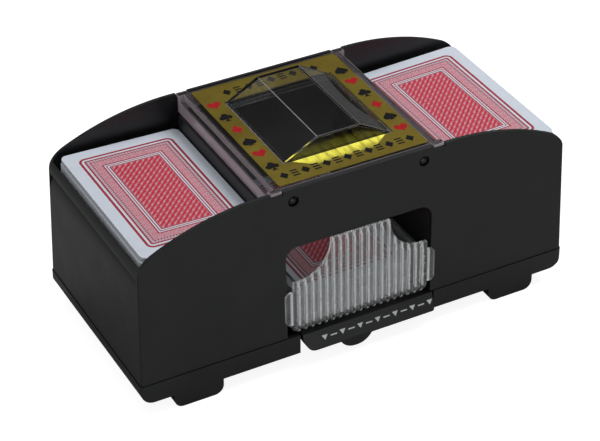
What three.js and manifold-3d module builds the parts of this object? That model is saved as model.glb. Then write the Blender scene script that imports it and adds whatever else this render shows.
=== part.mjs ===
// Battery-driven two-deck card shuffler, modelled as its separate working pieces.
// Millimetres. +X runs along the length, the tray and press bar face -Y, +Z is up, and the feet stand on z = 0.
import * as THREE from 'three';
import { mergeVertices } from 'three/addons/utils/BufferGeometryUtils.js';
import Module from 'manifold-3d';

const wasm = await Module();
wasm.setup();

// ---- driving dimensions ----------------------------------------------------------------------------------
const LENGTH = 216.6;          // housing length at the parting line
const DEPTH = 98.9;            // housing depth at the parting line
const SEAM = 17.8;             // height of the parting line between the housing and the base
const DRAFT = Math.tan(1.6 * Math.PI / 180);
const WALL = 1.6;              // housing wall
const ARCH_TOP = 95.3;         // top of the long walls at their middle
const ARCH_START = 46;         // where the top edge begins to curve down
const ARCH_RADIUS = 122;
const SHOULDER_X = 98.5;       // where the arch turns into the rounded end
const END_TOP = 71.5;          // where the rounded end meets the straight end wall
const LIP = { inside: 104.1, bottom: 59, start: 62.5 };   // the end wall curls in to this lip at its top

const BASE_STEP = 0.4;         // the base stands out this far past the housing
const BASE_TOP = 17.5;
const BASE_BOTTOM = 7.6;
const BASE_CORNER = 6.5;
const PLATE = 2.0;             // base bottom plate
const FOOT = { inner: 69, outer: 93, depth: 10, corner: 4.5 };

const CARD = { width: 58, length: 88, corner: 3.2 };
const DECK = { thickness: 15, tilt: 0.035, x: 73.9, y: -1.5, z: 80.6 };

const COVER = { x: 43, plateX: 40.2, y: 44.6, top: ARCH_TOP, plate: 1.6, ledge: 92.3, skirt: 86.6, thin: 1.3 };
const EAR = { inner: 37.7, outer: 42.9, y: 46.6, drop: 1.3 };
const NOTCH = { inner: 37.3, outer: 43.3, depth: 1.6 };
const DOME = { x: 27, y: 28.4, ridge: 10.6, height: 9.2, wall: 1.3 };
const LABEL = { x: 37, y: 43.1, thickness: 0.3, gap: 0.4 };
const STUD = { x: 32.5, z: 89, hole: 2.6, radius: 2.25, flange: 3.3 };

const WINDOW = { x: 36.9, top: 65.2, corner: 6 };
const TRAY = { x: 33.9, tab: 14.8, curveEnd: 3, top: 64.8, shoulder: 47, bottom: 19.2, proud: 1.3, panel: 2.0 };
const TRAY_BOX = { x: 31.6, wall: 1.4, floor: 1.6, front: -49, back: 41.6, sideBack: 20, sideTop: 44 };
const WING = { x: 38.0, bottom: 25, top: 42.5, corner: 2.5 };
const RIB = { pitch: 3.5, width: 1.5, height: 0.8, stop: 2.2 };
const TRAY_STACK = { y: -1.6, bottom: 20.95, top: 37.5 };

const BAR = { left: -29.5, right: 37.5, top: 17.2, bottom: 8.4, front: 52.7, back: 46.5 };
const BUMP = { x: -3, halfWidth: 9, depth: 5 };
const CUTOUT = { left: -30.6, right: 38.6, back: 40.5 };
const PIVOT = { y: -28, z: 12.6, radius: 1.25, running: 0.12 };
const LUG = { half: 4, width: 2 };                                    // upright that carries an end of the pin
const ARM = { left: -26, right: 31, width: 3.5, half: 1.6, eye: 3 };  // lever arms back to the pin
const STRIKER = { left: 26, right: 30, back: -16.4, top: 16.8 };      // lever finger over the switch leaf
const SPRING = { left: -2, right: 6, thickness: 0.4, heel: -14, bend: -22, tip: -37 };

const CELL = { radius: 13.1, length: 50, inner: 51.9, outer: 79.1, z: 23, front: -41 };
const PARTITION = { inner: 37.2, outer: 38.6, top: 21.6 };   // wall between the cells and the tray
const DOOR = { inner: 40, outer: 92, front: -37.5, back: 8, thickness: 1.5, gap: 0.35 };

const GEAR_PLATE = { front: 42.6, back: 43.5, halfLength: 84, low: 20, shelf: 61, top: 86, chamber: 42 };
const OUTER_GEARS = { front: 43.9, back: 46.2 };    // gear plane behind the plate
const INNER_GEARS = { front: 38.6, back: 41.2 };    // gear plane in front of the plate
const SHAFT_RADIUS = 1.5;
const SHAFT_HOLE = 1.56;
const SHAFT_FRONT = -46.0;
const FEED = { x: 60, z: 57.9, radius: 7, teeth: 14 };
const EJECT = { x: 43.5, z: 58.7, radius: 5.5, teeth: 10 };
const IDLER = { x: 49.5, z: 47.2, teeth: 16 };
const TRANSFER = { x: 21, z: 41.8, teeth: 42 };
const COMPOUND = { x: 59.46, z: 38.84, smallTeeth: 10, largeTeeth: 32, hub: 4 };
const MOTOR = { x: 78.25, z: 32, radius: 10, teeth: 8, front: 12, back: 36.4 };

const BED = { inner: 36.9, outer: 103.6, floor: 63.4, thickness: 1.8, front: -46.0, back: 42.2 };
const GATE = { inner: 42.7, outer: 44.3, bottom: 65.5, top: 86.2, halfWidth: 41.8 };
const SCREW = { x: 102.4, y: 43.6, head: 2.7, shank: 1.4, hole: 1.65, boss: 4.4, bossTop: 40, recess: 11.9 };
const POST = { idler: 1.5, transfer: 2.5, running: 0.15 };            // fixed gear posts on the gear plate
const SWITCH = { x: 24, y: -14, width: 8, depth: 10, top: 13 };
const WIRE_RADIUS = 0.7;

// The tray and press bar stand proud of the front, so the whole moves back by half of that to centre its box.
const FRONT_MOST = BAR.front;
const BACK_MOST = DEPTH / 2 + BASE_STEP;
const CENTRING = (FRONT_MOST - BACK_MOST) / 2;

// ---- materials ---------------------------------------------------------------------------------------------
const material = (color, roughness, metalness = 0, opacity = 1) =>
  new THREE.MeshStandardMaterial({ color, roughness, metalness, opacity, transparent: opacity < 1 });
const BLACK = material(0x26282b, 0.42);
const INNER_BLACK = material(0x1c1d1f, 0.6);
const CLEAR = material(0xdfe4e6, 0.08, 0, 0.35);
const GOLD = material(0x9a8a2c, 0.35, 0.6);
const PAPER = material(0xe8e6e4, 0.55);
const STEEL = material(0xb8bbc0, 0.3, 1);
const BRASS = material(0xc9a95a, 0.35, 1);
const RUBBER = material(0x2b2b2d, 0.85);
const GEAR_WHITE = material(0xe9e6dc, 0.45);
const CELL_SKIN = material(0x2f6d5a, 0.35);
const RED_WIRE = material(0xb3201c, 0.5);
const BLACK_WIRE = material(0x161616, 0.5);

// ---- solid helpers -----------------------------------------------------------------------------------------
function toSolid(geometry) {
  const bare = geometry.clone();
  bare.deleteAttribute('normal');
  bare.deleteAttribute('uv');
  const merged = mergeVertices(bare, 1e-4);
  const solid = new wasm.Mesh({
    numProp: 3,
    vertProperties: new Float32Array(merged.attributes.position.array),
    triVerts: new Uint32Array(merged.index.array),
  });
  return new wasm.Manifold(solid);
}

function toGeometry(solid) {
  const data = solid.getMesh();
  const geometry = new THREE.BufferGeometry();
  geometry.setAttribute('position', new THREE.BufferAttribute(new Float32Array(data.vertProperties), 3));
  geometry.setIndex(new THREE.BufferAttribute(new Uint32Array(data.triVerts), 1));
  return geometry;
}

const join = (first, ...others) => others.reduce((whole, part) => whole.add(part), first);
const cut = (first, ...others) => others.reduce((whole, part) => whole.subtract(part), first);

// The copy of a geometry on the other side of the machine.
function mirrored(geometry) {
  const copy = geometry.clone();
  const position = copy.attributes.position;
  for (let i = 0; i < position.count; i += 1) position.setX(i, -position.getX(i));
  const index = copy.index.array;
  for (let i = 0; i < index.length; i += 3) [index[i], index[i + 1]] = [index[i + 1], index[i]];
  return copy;
}

function box(x0, x1, y0, y1, z0, z1) {
  const geometry = new THREE.BoxGeometry(Math.abs(x1 - x0), Math.abs(y1 - y0), Math.abs(z1 - z0));
  geometry.translate((x0 + x1) / 2, (y0 + y1) / 2, (z0 + z1) / 2);
  return toSolid(geometry);
}

// A round bar along one axis; across gives its two other coordinates in X, Y, Z order.
function rod(axis, across, radius, from, to, segments = 16) {
  const geometry = new THREE.CylinderGeometry(radius, radius, to - from, segments);
  const middle = (from + to) / 2;
  if (axis === 'x') geometry.rotateZ(Math.PI / 2).translate(middle, across[0], across[1]);
  if (axis === 'y') geometry.translate(across[0], middle, across[1]);
  if (axis === 'z') geometry.rotateX(Math.PI / 2).translate(across[0], across[1], middle);
  return toSolid(geometry);
}

// An outline drawn in X and Z, extruded along Y.
function prismY(shape, y0, y1, curveSegments = 8) {
  const geometry = new THREE.ExtrudeGeometry(shape, { depth: y1 - y0, bevelEnabled: false, curveSegments });
  geometry.rotateX(Math.PI / 2).translate(0, y1, 0);
  return toSolid(geometry);
}

// An outline drawn in Y and Z, extruded along X.
function prismX(shape, x0, x1, curveSegments = 8) {
  const geometry = new THREE.ExtrudeGeometry(shape, { depth: x1 - x0, bevelEnabled: false, curveSegments });
  const axes = new THREE.Matrix4().makeBasis(
    new THREE.Vector3(0, 1, 0), new THREE.Vector3(0, 0, 1), new THREE.Vector3(1, 0, 0));
  geometry.applyMatrix4(axes).translate(x0, 0, 0);
  return toSolid(geometry);
}

// An outline drawn in X and Y, extruded along Z.
function prismZ(shape, z0, z1, curveSegments = 4) {
  const geometry = new THREE.ExtrudeGeometry(shape, { depth: z1 - z0, bevelEnabled: false, curveSegments });
  return toSolid(geometry.translate(0, 0, z0));
}

function polygon(points) {
  return new THREE.Shape(points.map(([u, v]) => new THREE.Vector2(u, v)));
}

function roundedRectangle(u0, u1, v0, v1, radius) {
  const shape = new THREE.Shape();
  shape.moveTo(u0 + radius, v0);
  shape.lineTo(u1 - radius, v0);
  shape.absarc(u1 - radius, v0 + radius, radius, -Math.PI / 2, 0);
  shape.lineTo(u1, v1 - radius);
  shape.absarc(u1 - radius, v1 - radius, radius, 0, Math.PI / 2);
  shape.lineTo(u0 + radius, v1);
  shape.absarc(u0 + radius, v1 - radius, radius, Math.PI / 2, Math.PI);
  shape.lineTo(u0, v0 + radius);
  shape.absarc(u0 + radius, v0 + radius, radius, Math.PI, Math.PI * 1.5);
  return shape;
}

// Where the drafted outside of the housing lies at a height.
const wallX = (z) => LENGTH / 2 - DRAFT * (z - SEAM);
const wallY = (z) => DEPTH / 2 - DRAFT * (z - SEAM);

// Leans the two Y faces of a prism inwards to follow the draft; inset moves them towards the middle.
function leanFaces(solid, inset) {
  const geometry = toGeometry(solid);
  const position = geometry.attributes.position;
  for (let i = 0; i < position.count; i += 1) {
    const side = Math.sign(position.getY(i));
    position.setY(i, side * (wallY(position.getZ(i)) - inset));
  }
  return toSolid(geometry);
}

// ---- upper housing -----------------------------------------------------------------------------------------
function archHeight(x) {
  const run = Math.max(0, Math.abs(x) - ARCH_START);
  return ARCH_TOP - (ARCH_RADIUS - Math.sqrt(ARCH_RADIUS ** 2 - run ** 2));
}

function housingProfile() {
  const steps = 7;
  const shoulderSlope = (archHeight(SHOULDER_X) - archHeight(SHOULDER_X - 0.01)) / 0.01;
  const end = wallX(END_TOP);
  const bendZ = archHeight(SHOULDER_X) + shoulderSlope * (end - SHOULDER_X);
  const shape = new THREE.Shape();
  shape.moveTo(-LENGTH / 2, SEAM);
  shape.lineTo(LENGTH / 2, SEAM);
  shape.lineTo(end, END_TOP);
  shape.quadraticCurveTo(end, bendZ, SHOULDER_X, archHeight(SHOULDER_X));
  for (let i = steps - 1; i >= 0; i -= 1) {
    const x = ARCH_START + (SHOULDER_X - ARCH_START) * i / steps;
    shape.lineTo(x, archHeight(x));
  }
  for (let i = 0; i <= steps; i += 1) {
    const x = ARCH_START + (SHOULDER_X - ARCH_START) * i / steps;
    shape.lineTo(-x, archHeight(x));
  }
  shape.quadraticCurveTo(-end, bendZ, -end, END_TOP);
  return shape;
}

function windowCut() {
  const shape = roundedRectangle(-WINDOW.x, WINDOW.x, SEAM - 20, WINDOW.top, WINDOW.corner);
  return prismY(shape, -DEPTH, -DEPTH / 2 + 8, 5);
}

// The thickened top of an end wall, before its outer edge is rounded.
function lipBlock(side) {
  const reach = wallY(END_TOP) - WALL / 2;
  return box(side * LIP.inside, side * (wallX(END_TOP) - WALL / 2), -reach, reach, LIP.bottom, END_TOP);
}

// What the rounding takes off an end wall between the two long walls.
function lipRounding(side) {
  const reach = wallY(END_TOP) - WALL;
  const far = LENGTH / 2 + 1;
  const outline = new THREE.Shape();
  outline.moveTo(side * far, LIP.start);
  outline.lineTo(side * wallX(LIP.start), LIP.start);
  outline.quadraticCurveTo(side * wallX(END_TOP), END_TOP - 1, side * LIP.inside, END_TOP - 0.2);
  outline.lineTo(side * LIP.inside, END_TOP + 1);
  outline.lineTo(side * far, END_TOP + 1);
  return prismY(outline, -reach, reach, 6);
}

function upperHousing() {
  const outer = leanFaces(prismY(housingProfile(), -DEPTH / 2, DEPTH / 2, 5), 0);
  const high = 120;
  const inner = polygon([[wallX(0) - WALL, 0], [wallX(high) - WALL, high],
    [-wallX(high) + WALL, high], [-wallX(0) + WALL, 0]]);
  let shell = cut(outer, leanFaces(prismY(inner, -1, 1), WALL), windowCut());
  for (const side of [-1, 1]) shell = cut(join(shell, lipBlock(side)), lipRounding(side));
  for (const side of [-1, 1]) {
    const inside = side * NOTCH.inner;
    const outside = side * NOTCH.outer;
    shell = cut(shell, box(inside, outside, -DEPTH, DEPTH, ARCH_TOP - NOTCH.depth, ARCH_TOP + 1));
    shell = cut(shell, rod('y', [side * STUD.x, STUD.z], STUD.hole, -DEPTH, DEPTH));
    for (const end of [-1, 1]) {
      const at = [side * SCREW.x, end * SCREW.y];
      const boss = rod('z', at, SCREW.boss, SEAM, SCREW.bossTop);
      const bore = rod('z', at, SCREW.hole, SEAM - 1, SCREW.bossTop - 6, 12);
      shell = cut(join(shell, boss), bore);
    }
  }
  return shell;
}

// ---- base pan ----------------------------------------------------------------------------------------------
function basePan() {
  const x = LENGTH / 2 + BASE_STEP;
  const y = DEPTH / 2 + BASE_STEP;
  const profile = new THREE.Shape();
  profile.moveTo(-x, BASE_TOP);
  profile.lineTo(-x, BASE_BOTTOM + BASE_CORNER);
  profile.absarc(-x + BASE_CORNER, BASE_BOTTOM + BASE_CORNER, BASE_CORNER, Math.PI, Math.PI * 1.5);
  profile.lineTo(x - BASE_CORNER, BASE_BOTTOM);
  profile.absarc(x - BASE_CORNER, BASE_BOTTOM + BASE_CORNER, BASE_CORNER, -Math.PI / 2, 0);
  profile.lineTo(x, BASE_TOP);
  let pan = prismY(profile, -y, y, 5);
  const floor = BASE_BOTTOM + PLATE;
  const rim = WALL + BASE_STEP;
  pan = cut(pan, box(-x + rim + 2, x - rim - 2, -y + rim, y - rim, floor, BASE_TOP + 5));
  for (const side of [-1, 1]) {
    for (const end of [-1, 1]) pan = join(pan, foot(side, end, y), screwColumn(side, end));
  }
  pan = join(pan, ...pivotLugs(), ...motorCradle(), ...cellRibs());
  pan = cut(pan, box(CUTOUT.left, CUTOUT.right, -y - 5, -CUTOUT.back, 0, BASE_TOP + 5));
  pan = cut(pan, rod('x', [PIVOT.y, PIVOT.z], PIVOT.radius, CUTOUT.left - 20, CUTOUT.right + 20));
  for (const side of [-1, 1]) {
    pan = cut(pan, box(side * DOOR.inner, side * DOOR.outer, DOOR.front, DOOR.back, 0, floor + 0.1));
    for (const end of [-1, 1]) pan = cut(pan, ...screwBore(side, end));
  }
  return cut(pan, rod('y', [MOTOR.x, MOTOR.z], MOTOR.radius + 0.25, MOTOR.front - 2, MOTOR.back + 0.5));
}

function foot(side, end, y) {
  const outline = new THREE.Shape();
  const { inner, outer, corner } = FOOT;
  outline.moveTo(inner, BASE_BOTTOM + 1);
  outline.lineTo(inner, corner);
  outline.absarc(inner + corner, corner, corner, Math.PI, Math.PI * 1.5);
  outline.lineTo(outer - corner, 0);
  outline.absarc(outer - corner, corner, corner, -Math.PI / 2, 0);
  outline.lineTo(outer, BASE_BOTTOM + 1);
  const near = y - FOOT.depth;
  const block = end > 0 ? prismY(outline, near, y, 4) : prismY(outline, -y, -near, 4);
  return side > 0 ? block : toSolid(mirrored(toGeometry(block)));
}

function screwColumn(side, end) {
  const y = DEPTH / 2 + BASE_STEP - 1;
  const { x: screwX, y: screwY, boss } = SCREW;
  const reach = [side * (screwX - boss), side * (LENGTH / 2 - 1), end * (screwY - boss), end * y];
  return box(...reach, BASE_BOTTOM + 3, BASE_TOP);
}

function screwBore(side, end) {
  const at = [side * SCREW.x, end * SCREW.y];
  return [rod('z', at, SCREW.hole, 0, 30, 12), rod('z', at, SCREW.head + 0.4, 0, SCREW.recess)];
}

function pivotLugs() {
  const { half, width } = LUG;
  const lug = (x) => box(x, x + width, PIVOT.y - half, PIVOT.y + half, BASE_BOTTOM + 1, PIVOT.z + half);
  return [lug(CUTOUT.left - 0.4), lug(CUTOUT.right + 0.4 - width)];
}

function motorCradle() {
  const half = MOTOR.radius + 2.5;
  const saddle = (y) => box(MOTOR.x - half, MOTOR.x + half, y, y + 2, BASE_BOTTOM + 1, MOTOR.z - 2);
  return [saddle(MOTOR.front + 4), saddle(MOTOR.back - 7)];
}

// Ribs at both ends of the cells, and a wall that parts them from the tray.
function cellRibs() {
  const ribs = [];
  for (const side of [-1, 1]) {
    const back = CELL.front + CELL.length;
    const x0 = side * (DOOR.inner - 1.6);
    const x1 = side * (DOOR.outer + 2);
    ribs.push(box(x0, x1, back + 1.6, back + 2.8, BASE_BOTTOM + 1, 29));
    ribs.push(box(x0, x1, CELL.front - 2.9, CELL.front - 1.7, BASE_BOTTOM + 1, 29));
    ribs.push(box(side * PARTITION.inner, side * PARTITION.outer, CELL.front - 2.9, back + 1.7,
      BASE_BOTTOM + 1, PARTITION.top));
  }
  return ribs;
}

// ---- card beds and gates (drawn for the right side) --------------------------------------------------------
function cardBed() {
  const slope = DECK.tilt;
  const top = (x) => BED.floor + slope * (x - BED.inner);
  const section = polygon([[BED.inner, top(BED.inner)], [BED.inner, top(BED.inner) - BED.thickness],
    [BED.outer, top(BED.outer) - BED.thickness], [BED.outer, top(BED.outer)]]);
  let bed = prismY(section, BED.front, BED.back);
  bed = join(bed,
    box(BED.inner, BED.inner + 1, BED.front, BED.back, 22, top(BED.inner) - 0.5),
    box(BED.inner, 70, BED.front, BED.front + 1.5, 52, top(BED.inner) - 0.5));
  for (const y of [-20, 20]) {
    bed = cut(bed, box(FEED.x - 7.7, FEED.x + 7.7, y - 7, y + 7, 50, 80));
  }
  bed = cut(bed, box(EJECT.x - 6.2, EJECT.x + 6.2, -25, 25, 50, 80));
  for (const roller of [FEED, EJECT]) {
    bed = cut(bed, rod('y', [roller.x, roller.z], SHAFT_HOLE, BED.front - 1, BED.front + 3));
  }
  return cut(bed, box(BED.inner - 1, BED.inner + 2, -25, 25, EJECT.z + 2.6, 80));
}

function gatePlate() {
  const plate = box(GATE.inner, GATE.outer, -GATE.halfWidth, GATE.halfWidth, GATE.bottom, GATE.top);
  const legs = [-1, 1].map((end) => {
    const y = end * (GATE.halfWidth - 4);
    return box(GATE.inner, GATE.outer, y, end * GATE.halfWidth, BED.floor + 0.4, GATE.bottom + 1);
  });
  return join(plate, ...legs);
}

// ---- gears and rollers -------------------------------------------------------------------------------------
// Module 1 teeth with plain flanks: a narrow tip, a wide root and running clearance on both.
function gearOutline(x, z, teeth, phase) {
  const root = teeth / 2 - 1.2;
  const tip = teeth / 2 + 0.9;
  const pitch = 2 * Math.PI / teeth;
  const points = [];
  for (let i = 0; i < teeth; i += 1) {
    for (const [radius, offset] of [[root, -0.27], [tip, -0.11], [tip, 0.11], [root, 0.27]]) {
      const angle = phase + (i + offset) * pitch;
      points.push([x + radius * Math.cos(angle), z + radius * Math.sin(angle)]);
    }
  }
  return polygon(points);
}

// The phase at which a gear meshes with a driving one whose own phase is known.
function meshPhase(driver, driverPhase, driverTeeth, driven, drivenTeeth) {
  const line = Math.atan2(driven.z - driver.z, driven.x - driver.x);
  return line + Math.PI + Math.PI / drivenTeeth + (line - driverPhase) * driverTeeth / drivenTeeth;
}

const across = (place) => ({ ...place, x: -place.x });
const rightIdlerPhase = meshPhase(FEED, 0, FEED.teeth, IDLER, IDLER.teeth);
const rightEjectPhase = meshPhase(IDLER, rightIdlerPhase, IDLER.teeth, EJECT, EJECT.teeth);
const compoundPhase = meshPhase(IDLER, rightIdlerPhase, IDLER.teeth, COMPOUND, COMPOUND.smallTeeth);
const pinionPhase = meshPhase(COMPOUND, 0, COMPOUND.largeTeeth, MOTOR, MOTOR.teeth);
const rightTransferPhase = meshPhase(IDLER, rightIdlerPhase, IDLER.teeth, TRANSFER, TRANSFER.teeth);
const leftTransferPhase =
  meshPhase(TRANSFER, rightTransferPhase, TRANSFER.teeth, across(TRANSFER), TRANSFER.teeth);
const leftIdlerPhase =
  meshPhase(across(TRANSFER), leftTransferPhase, TRANSFER.teeth, across(IDLER), IDLER.teeth);
const leftFeedPhase = meshPhase(across(IDLER), leftIdlerPhase, IDLER.teeth, across(FEED), FEED.teeth);
const leftEjectPhase = meshPhase(across(IDLER), leftIdlerPhase, IDLER.teeth, across(EJECT), EJECT.teeth);

function outerGear(place, teeth, phase, bore) {
  const disc = prismY(gearOutline(place.x, place.z, teeth, phase), OUTER_GEARS.front, OUTER_GEARS.back);
  return cut(disc, rod('y', [place.x, place.z], bore, OUTER_GEARS.front - 1, OUTER_GEARS.back + 1));
}

// A large wheel in the inner plane and a small one in the outer plane, on one hub through the gear plate.
function compoundGear() {
  const at = [COMPOUND.x, COMPOUND.z];
  const large = gearOutline(COMPOUND.x, COMPOUND.z, COMPOUND.largeTeeth, 0);
  const small = gearOutline(COMPOUND.x, COMPOUND.z, COMPOUND.smallTeeth, compoundPhase);
  return join(
    prismY(large, INNER_GEARS.front, INNER_GEARS.back),
    prismY(small, OUTER_GEARS.front, OUTER_GEARS.back),
    rod('y', at, COMPOUND.hub - 0.2, INNER_GEARS.front, OUTER_GEARS.back));
}

function motorPinion() {
  const outline = gearOutline(MOTOR.x, MOTOR.z, MOTOR.teeth, pinionPhase);
  return join(
    prismY(outline, INNER_GEARS.front, INNER_GEARS.back),
    rod('y', [MOTOR.x, MOTOR.z], 1, MOTOR.back + 1.1, INNER_GEARS.back));
}

function gearPlate() {
  const { front, back, halfLength, low, shelf, top, chamber } = GEAR_PLATE;
  let plate = join(
    box(-halfLength, halfLength, front, back, low, shelf),
    box(-chamber, chamber, front, back, shelf - 1, top));
  for (const side of [-1, 1]) {
    for (const [gear, radius] of [[IDLER, POST.idler], [TRANSFER, POST.transfer]]) {
      plate = join(plate, rod('y', [side * gear.x, gear.z], radius, front, OUTER_GEARS.back));
    }
    for (const roller of [FEED, EJECT]) {
      plate = cut(plate, rod('y', [side * roller.x, roller.z], SHAFT_HOLE, front - 1, back + 1));
    }
  }
  const hubHole = rod('y', [COMPOUND.x, COMPOUND.z], COMPOUND.hub, front - 1, back + 1);
  return cut(plate, hubHole);
}

const shaft = (roller) => rod('y', [roller.x, roller.z], SHAFT_RADIUS, SHAFT_FRONT, OUTER_GEARS.back);

function tyre(roller, from, to) {
  const at = [roller.x, roller.z];
  return cut(rod('y', at, roller.radius, from, to, 20), rod('y', at, SHAFT_RADIUS, from - 1, to + 1));
}

// ---- motor, cells, contacts, switch and wires --------------------------------------------------------------
function motorCan() {
  const at = [MOTOR.x, MOTOR.z];
  return join(
    rod('y', at, MOTOR.radius, MOTOR.front + 3, MOTOR.back),
    rod('y', at, 3, MOTOR.back, MOTOR.back + 0.9));
}

function motorEndCap() {
  const at = [MOTOR.x, MOTOR.z];
  const tab = (x) => box(MOTOR.x + x, MOTOR.x + x + 2, MOTOR.front - 1.5, MOTOR.front + 1, 35, 35.5);
  return join(rod('y', at, MOTOR.radius - 0.6, MOTOR.front + 0.3, MOTOR.front + 2.9), tab(-7), tab(5));
}

function cell(x, positiveFirst) {
  const { radius, length, z, front } = CELL;
  const nub = 1.5;
  const profile = [[0, 0], [radius - 1, 0], [radius, 0.8], [radius, length - nub - 0.8],
    [radius - 1, length - nub], [3.2, length - nub], [3, length], [0, length]];
  const geometry = new THREE.LatheGeometry(profile.map(([r, y]) => new THREE.Vector2(r, y)), 18);
  if (positiveFirst) geometry.rotateX(Math.PI).translate(0, length, 0);
  return toSolid(geometry.translate(x, front, z));
}

function contactStrip(x0, x1, y) {
  const z = CELL.z;
  return join(box(x0, x1, y, y + 0.4, z - 6, z + 6), box(x0 + 2, x0 + 4, y, y + 0.4, z - 6, z + 12));
}

function switchBlock() {
  const { x, y, width, depth, top } = SWITCH;
  const lowest = BASE_BOTTOM + PLATE;
  const tab = box(x + 1, x + 3, y + depth, y + depth + 2, 10.5, 11);
  return join(box(x, x + width, y, y + depth, lowest, top), tab);
}

function switchLeaf() {
  const { x, y, width, depth, top } = SWITCH;
  const outline = polygon([[y + depth - 2, top], [y + depth - 2, top + 0.4], [y + 4, top + 0.4],
    [y - 1, top + 2], [y - 1, top + 1.6], [y + 4, top]]);
  return prismX(outline, x + 2, x + width - 2);
}

// A round wire through the given points.
function wire(points, radius) {
  const curve = new THREE.CatmullRomCurve3(points.map(([x, y, z]) => new THREE.Vector3(x, y, z)));
  const section = new THREE.Shape().absarc(0, 0, radius, 0, Math.PI * 2);
  const settings = { steps: points.length * 3, extrudePath: curve, curveSegments: 4, bevelEnabled: false };
  return toSolid(new THREE.ExtrudeGeometry(section, settings));
}

// From one motor tab, over the cells, to the front contact strip.
const redWire = () => wire([[MOTOR.x + 6, MOTOR.front - 0.9, 36.3], [MOTOR.x + 8, 10.8, 40],
  [MOTOR.x + 9, 2, 43], [MOTOR.x + 8, -20, 43], [MOTOR.x + 4, -38, 41], [MOTOR.x, -43.4, 37.5]], WIRE_RADIUS);

// From the other motor tab, down behind the cells, to the switch.
const blackWire = () => wire([[MOTOR.x - 6, MOTOR.front - 0.9, 36.3], [MOTOR.x - 8, 11.4, 39],
  [60, 15, 34], [48, 18, 20], [40, 16, 13], [32, 6, 11.8], [27, 0, 11.4], [26, -1.2, 11.4]], WIRE_RADIUS);

// ---- press bar ---------------------------------------------------------------------------------------------
function pressBar() {
  const { left, right, top, bottom, front, back } = BAR;
  const wall = DEPTH / 2;
  const section = polygon([[-back, bottom], [-front, bottom], [-front, bottom + 0.9],
    [-wall - 0.5, top], [-back, top]]);
  const bar = prismX(section, left, right);
  const face = new THREE.Shape();
  const leftCorner = 6.5;
  const rightCorner = 1.2;
  face.moveTo(left, top + 1);
  face.lineTo(left, top - 1.5);
  face.quadraticCurveTo(left + 0.8, bottom, left + leftCorner, bottom);
  face.lineTo(right - rightCorner, bottom);
  face.quadraticCurveTo(right, bottom, right, bottom + rightCorner);
  face.lineTo(right, top + 1);
  const trimmed = bar.intersect(prismY(face, -front - 1, -back + 1, 5));
  return join(trimmed, fingerBump(), ...barArms());
}

function fingerBump() {
  const { x, halfWidth, depth } = BUMP;
  const outline = new THREE.Shape();
  outline.moveTo(x - halfWidth, BAR.bottom + 1.5);
  outline.quadraticCurveTo(x - halfWidth * 0.7, BAR.bottom - depth, x, BAR.bottom - depth);
  outline.quadraticCurveTo(x + halfWidth * 0.7, BAR.bottom - depth, x + halfWidth, BAR.bottom + 1.5);
  return prismY(outline, -BAR.front + 0.6, -BAR.back, 6);
}

// Two arms with eyes for the pin, a web that ties them, and the finger that works the switch.
function barArms() {
  const low = PIVOT.z - ARM.half;
  const high = PIVOT.z + ARM.half;
  const rightEnd = ARM.right + ARM.width;
  const pieces = [];
  for (const x of [ARM.left, ARM.right]) {
    pieces.push(box(x, x + ARM.width, -BAR.back - 0.5, PIVOT.y, low, high));
    pieces.push(rod('x', [PIVOT.y, PIVOT.z], ARM.eye, x, x + ARM.width));
  }
  pieces.push(box(ARM.left, rightEnd, -37.5, -35.5, low + 0.4, high));
  pieces.push(box(STRIKER.left, STRIKER.right, -37, STRIKER.back, low + 2.8, STRIKER.top));
  pieces.push(box(STRIKER.left, rightEnd, -36.5, -33, low + 0.6, STRIKER.top));
  return pieces;
}

function pressLever() {
  const bore = rod('x', [PIVOT.y, PIVOT.z], PIVOT.radius + PIVOT.running, BAR.left, BAR.right + 1);
  return cut(pressBar(), bore);
}

const leverPin = () => rod('x', [PIVOT.y, PIVOT.z], PIVOT.radius, CUTOUT.left - 0.4, CUTOUT.right + 0.4);

// A steel leaf on the base plate that bears up under the cross web of the press lever.
function leverSpring() {
  const { left, right, thickness, heel, bend, tip } = SPRING;
  const floor = BASE_BOTTOM + PLATE;
  const web = PIVOT.z - ARM.half + 0.4;
  const outline = polygon([[heel, floor], [heel, floor + thickness], [bend, floor + thickness],
    [tip, web - 0.1], [tip - 0.4, web - 0.1 - thickness], [bend, floor]]);
  return prismX(outline, left, right);
}

// ---- tray --------------------------------------------------------------------------------------------------
// The tray front: a raised tab between two concave shoulders.
function trayPanelShape() {
  const { x, tab, curveEnd, top, shoulder, bottom } = TRAY;
  const end = x - curveEnd;
  const curve = { x: end - tab, z: top - shoulder };
  const lowCorner = 3;
  const shape = new THREE.Shape();
  shape.moveTo(-x + lowCorner, bottom);
  shape.lineTo(x - lowCorner, bottom);
  shape.absarc(x - lowCorner, bottom + lowCorner, lowCorner, -Math.PI / 2, 0);
  shape.lineTo(x, shoulder);
  shape.lineTo(end, shoulder);
  shape.absellipse(end, top, curve.x, curve.z, -Math.PI / 2, -Math.PI, true);
  shape.lineTo(-tab, top);
  shape.absellipse(-end, top, curve.x, curve.z, 0, -Math.PI / 2, true);
  shape.lineTo(-x, shoulder);
  shape.lineTo(-x, bottom + lowCorner);
  shape.absarc(-x + lowCorner, bottom + lowCorner, lowCorner, Math.PI, Math.PI * 1.5);
  return shape;
}

// A slab that follows the leaning front wall, between two distances in front of it.
function frontSlab(shape, near, far, curveSegments = 5) {
  const geometry = toGeometry(prismY(shape, -1, 1, curveSegments));
  const position = geometry.attributes.position;
  for (let i = 0; i < position.count; i += 1) {
    const proud = position.getY(i) < 0 ? far : near;
    position.setY(i, -wallY(position.getZ(i)) - proud);
  }
  return toSolid(geometry);
}

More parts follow.
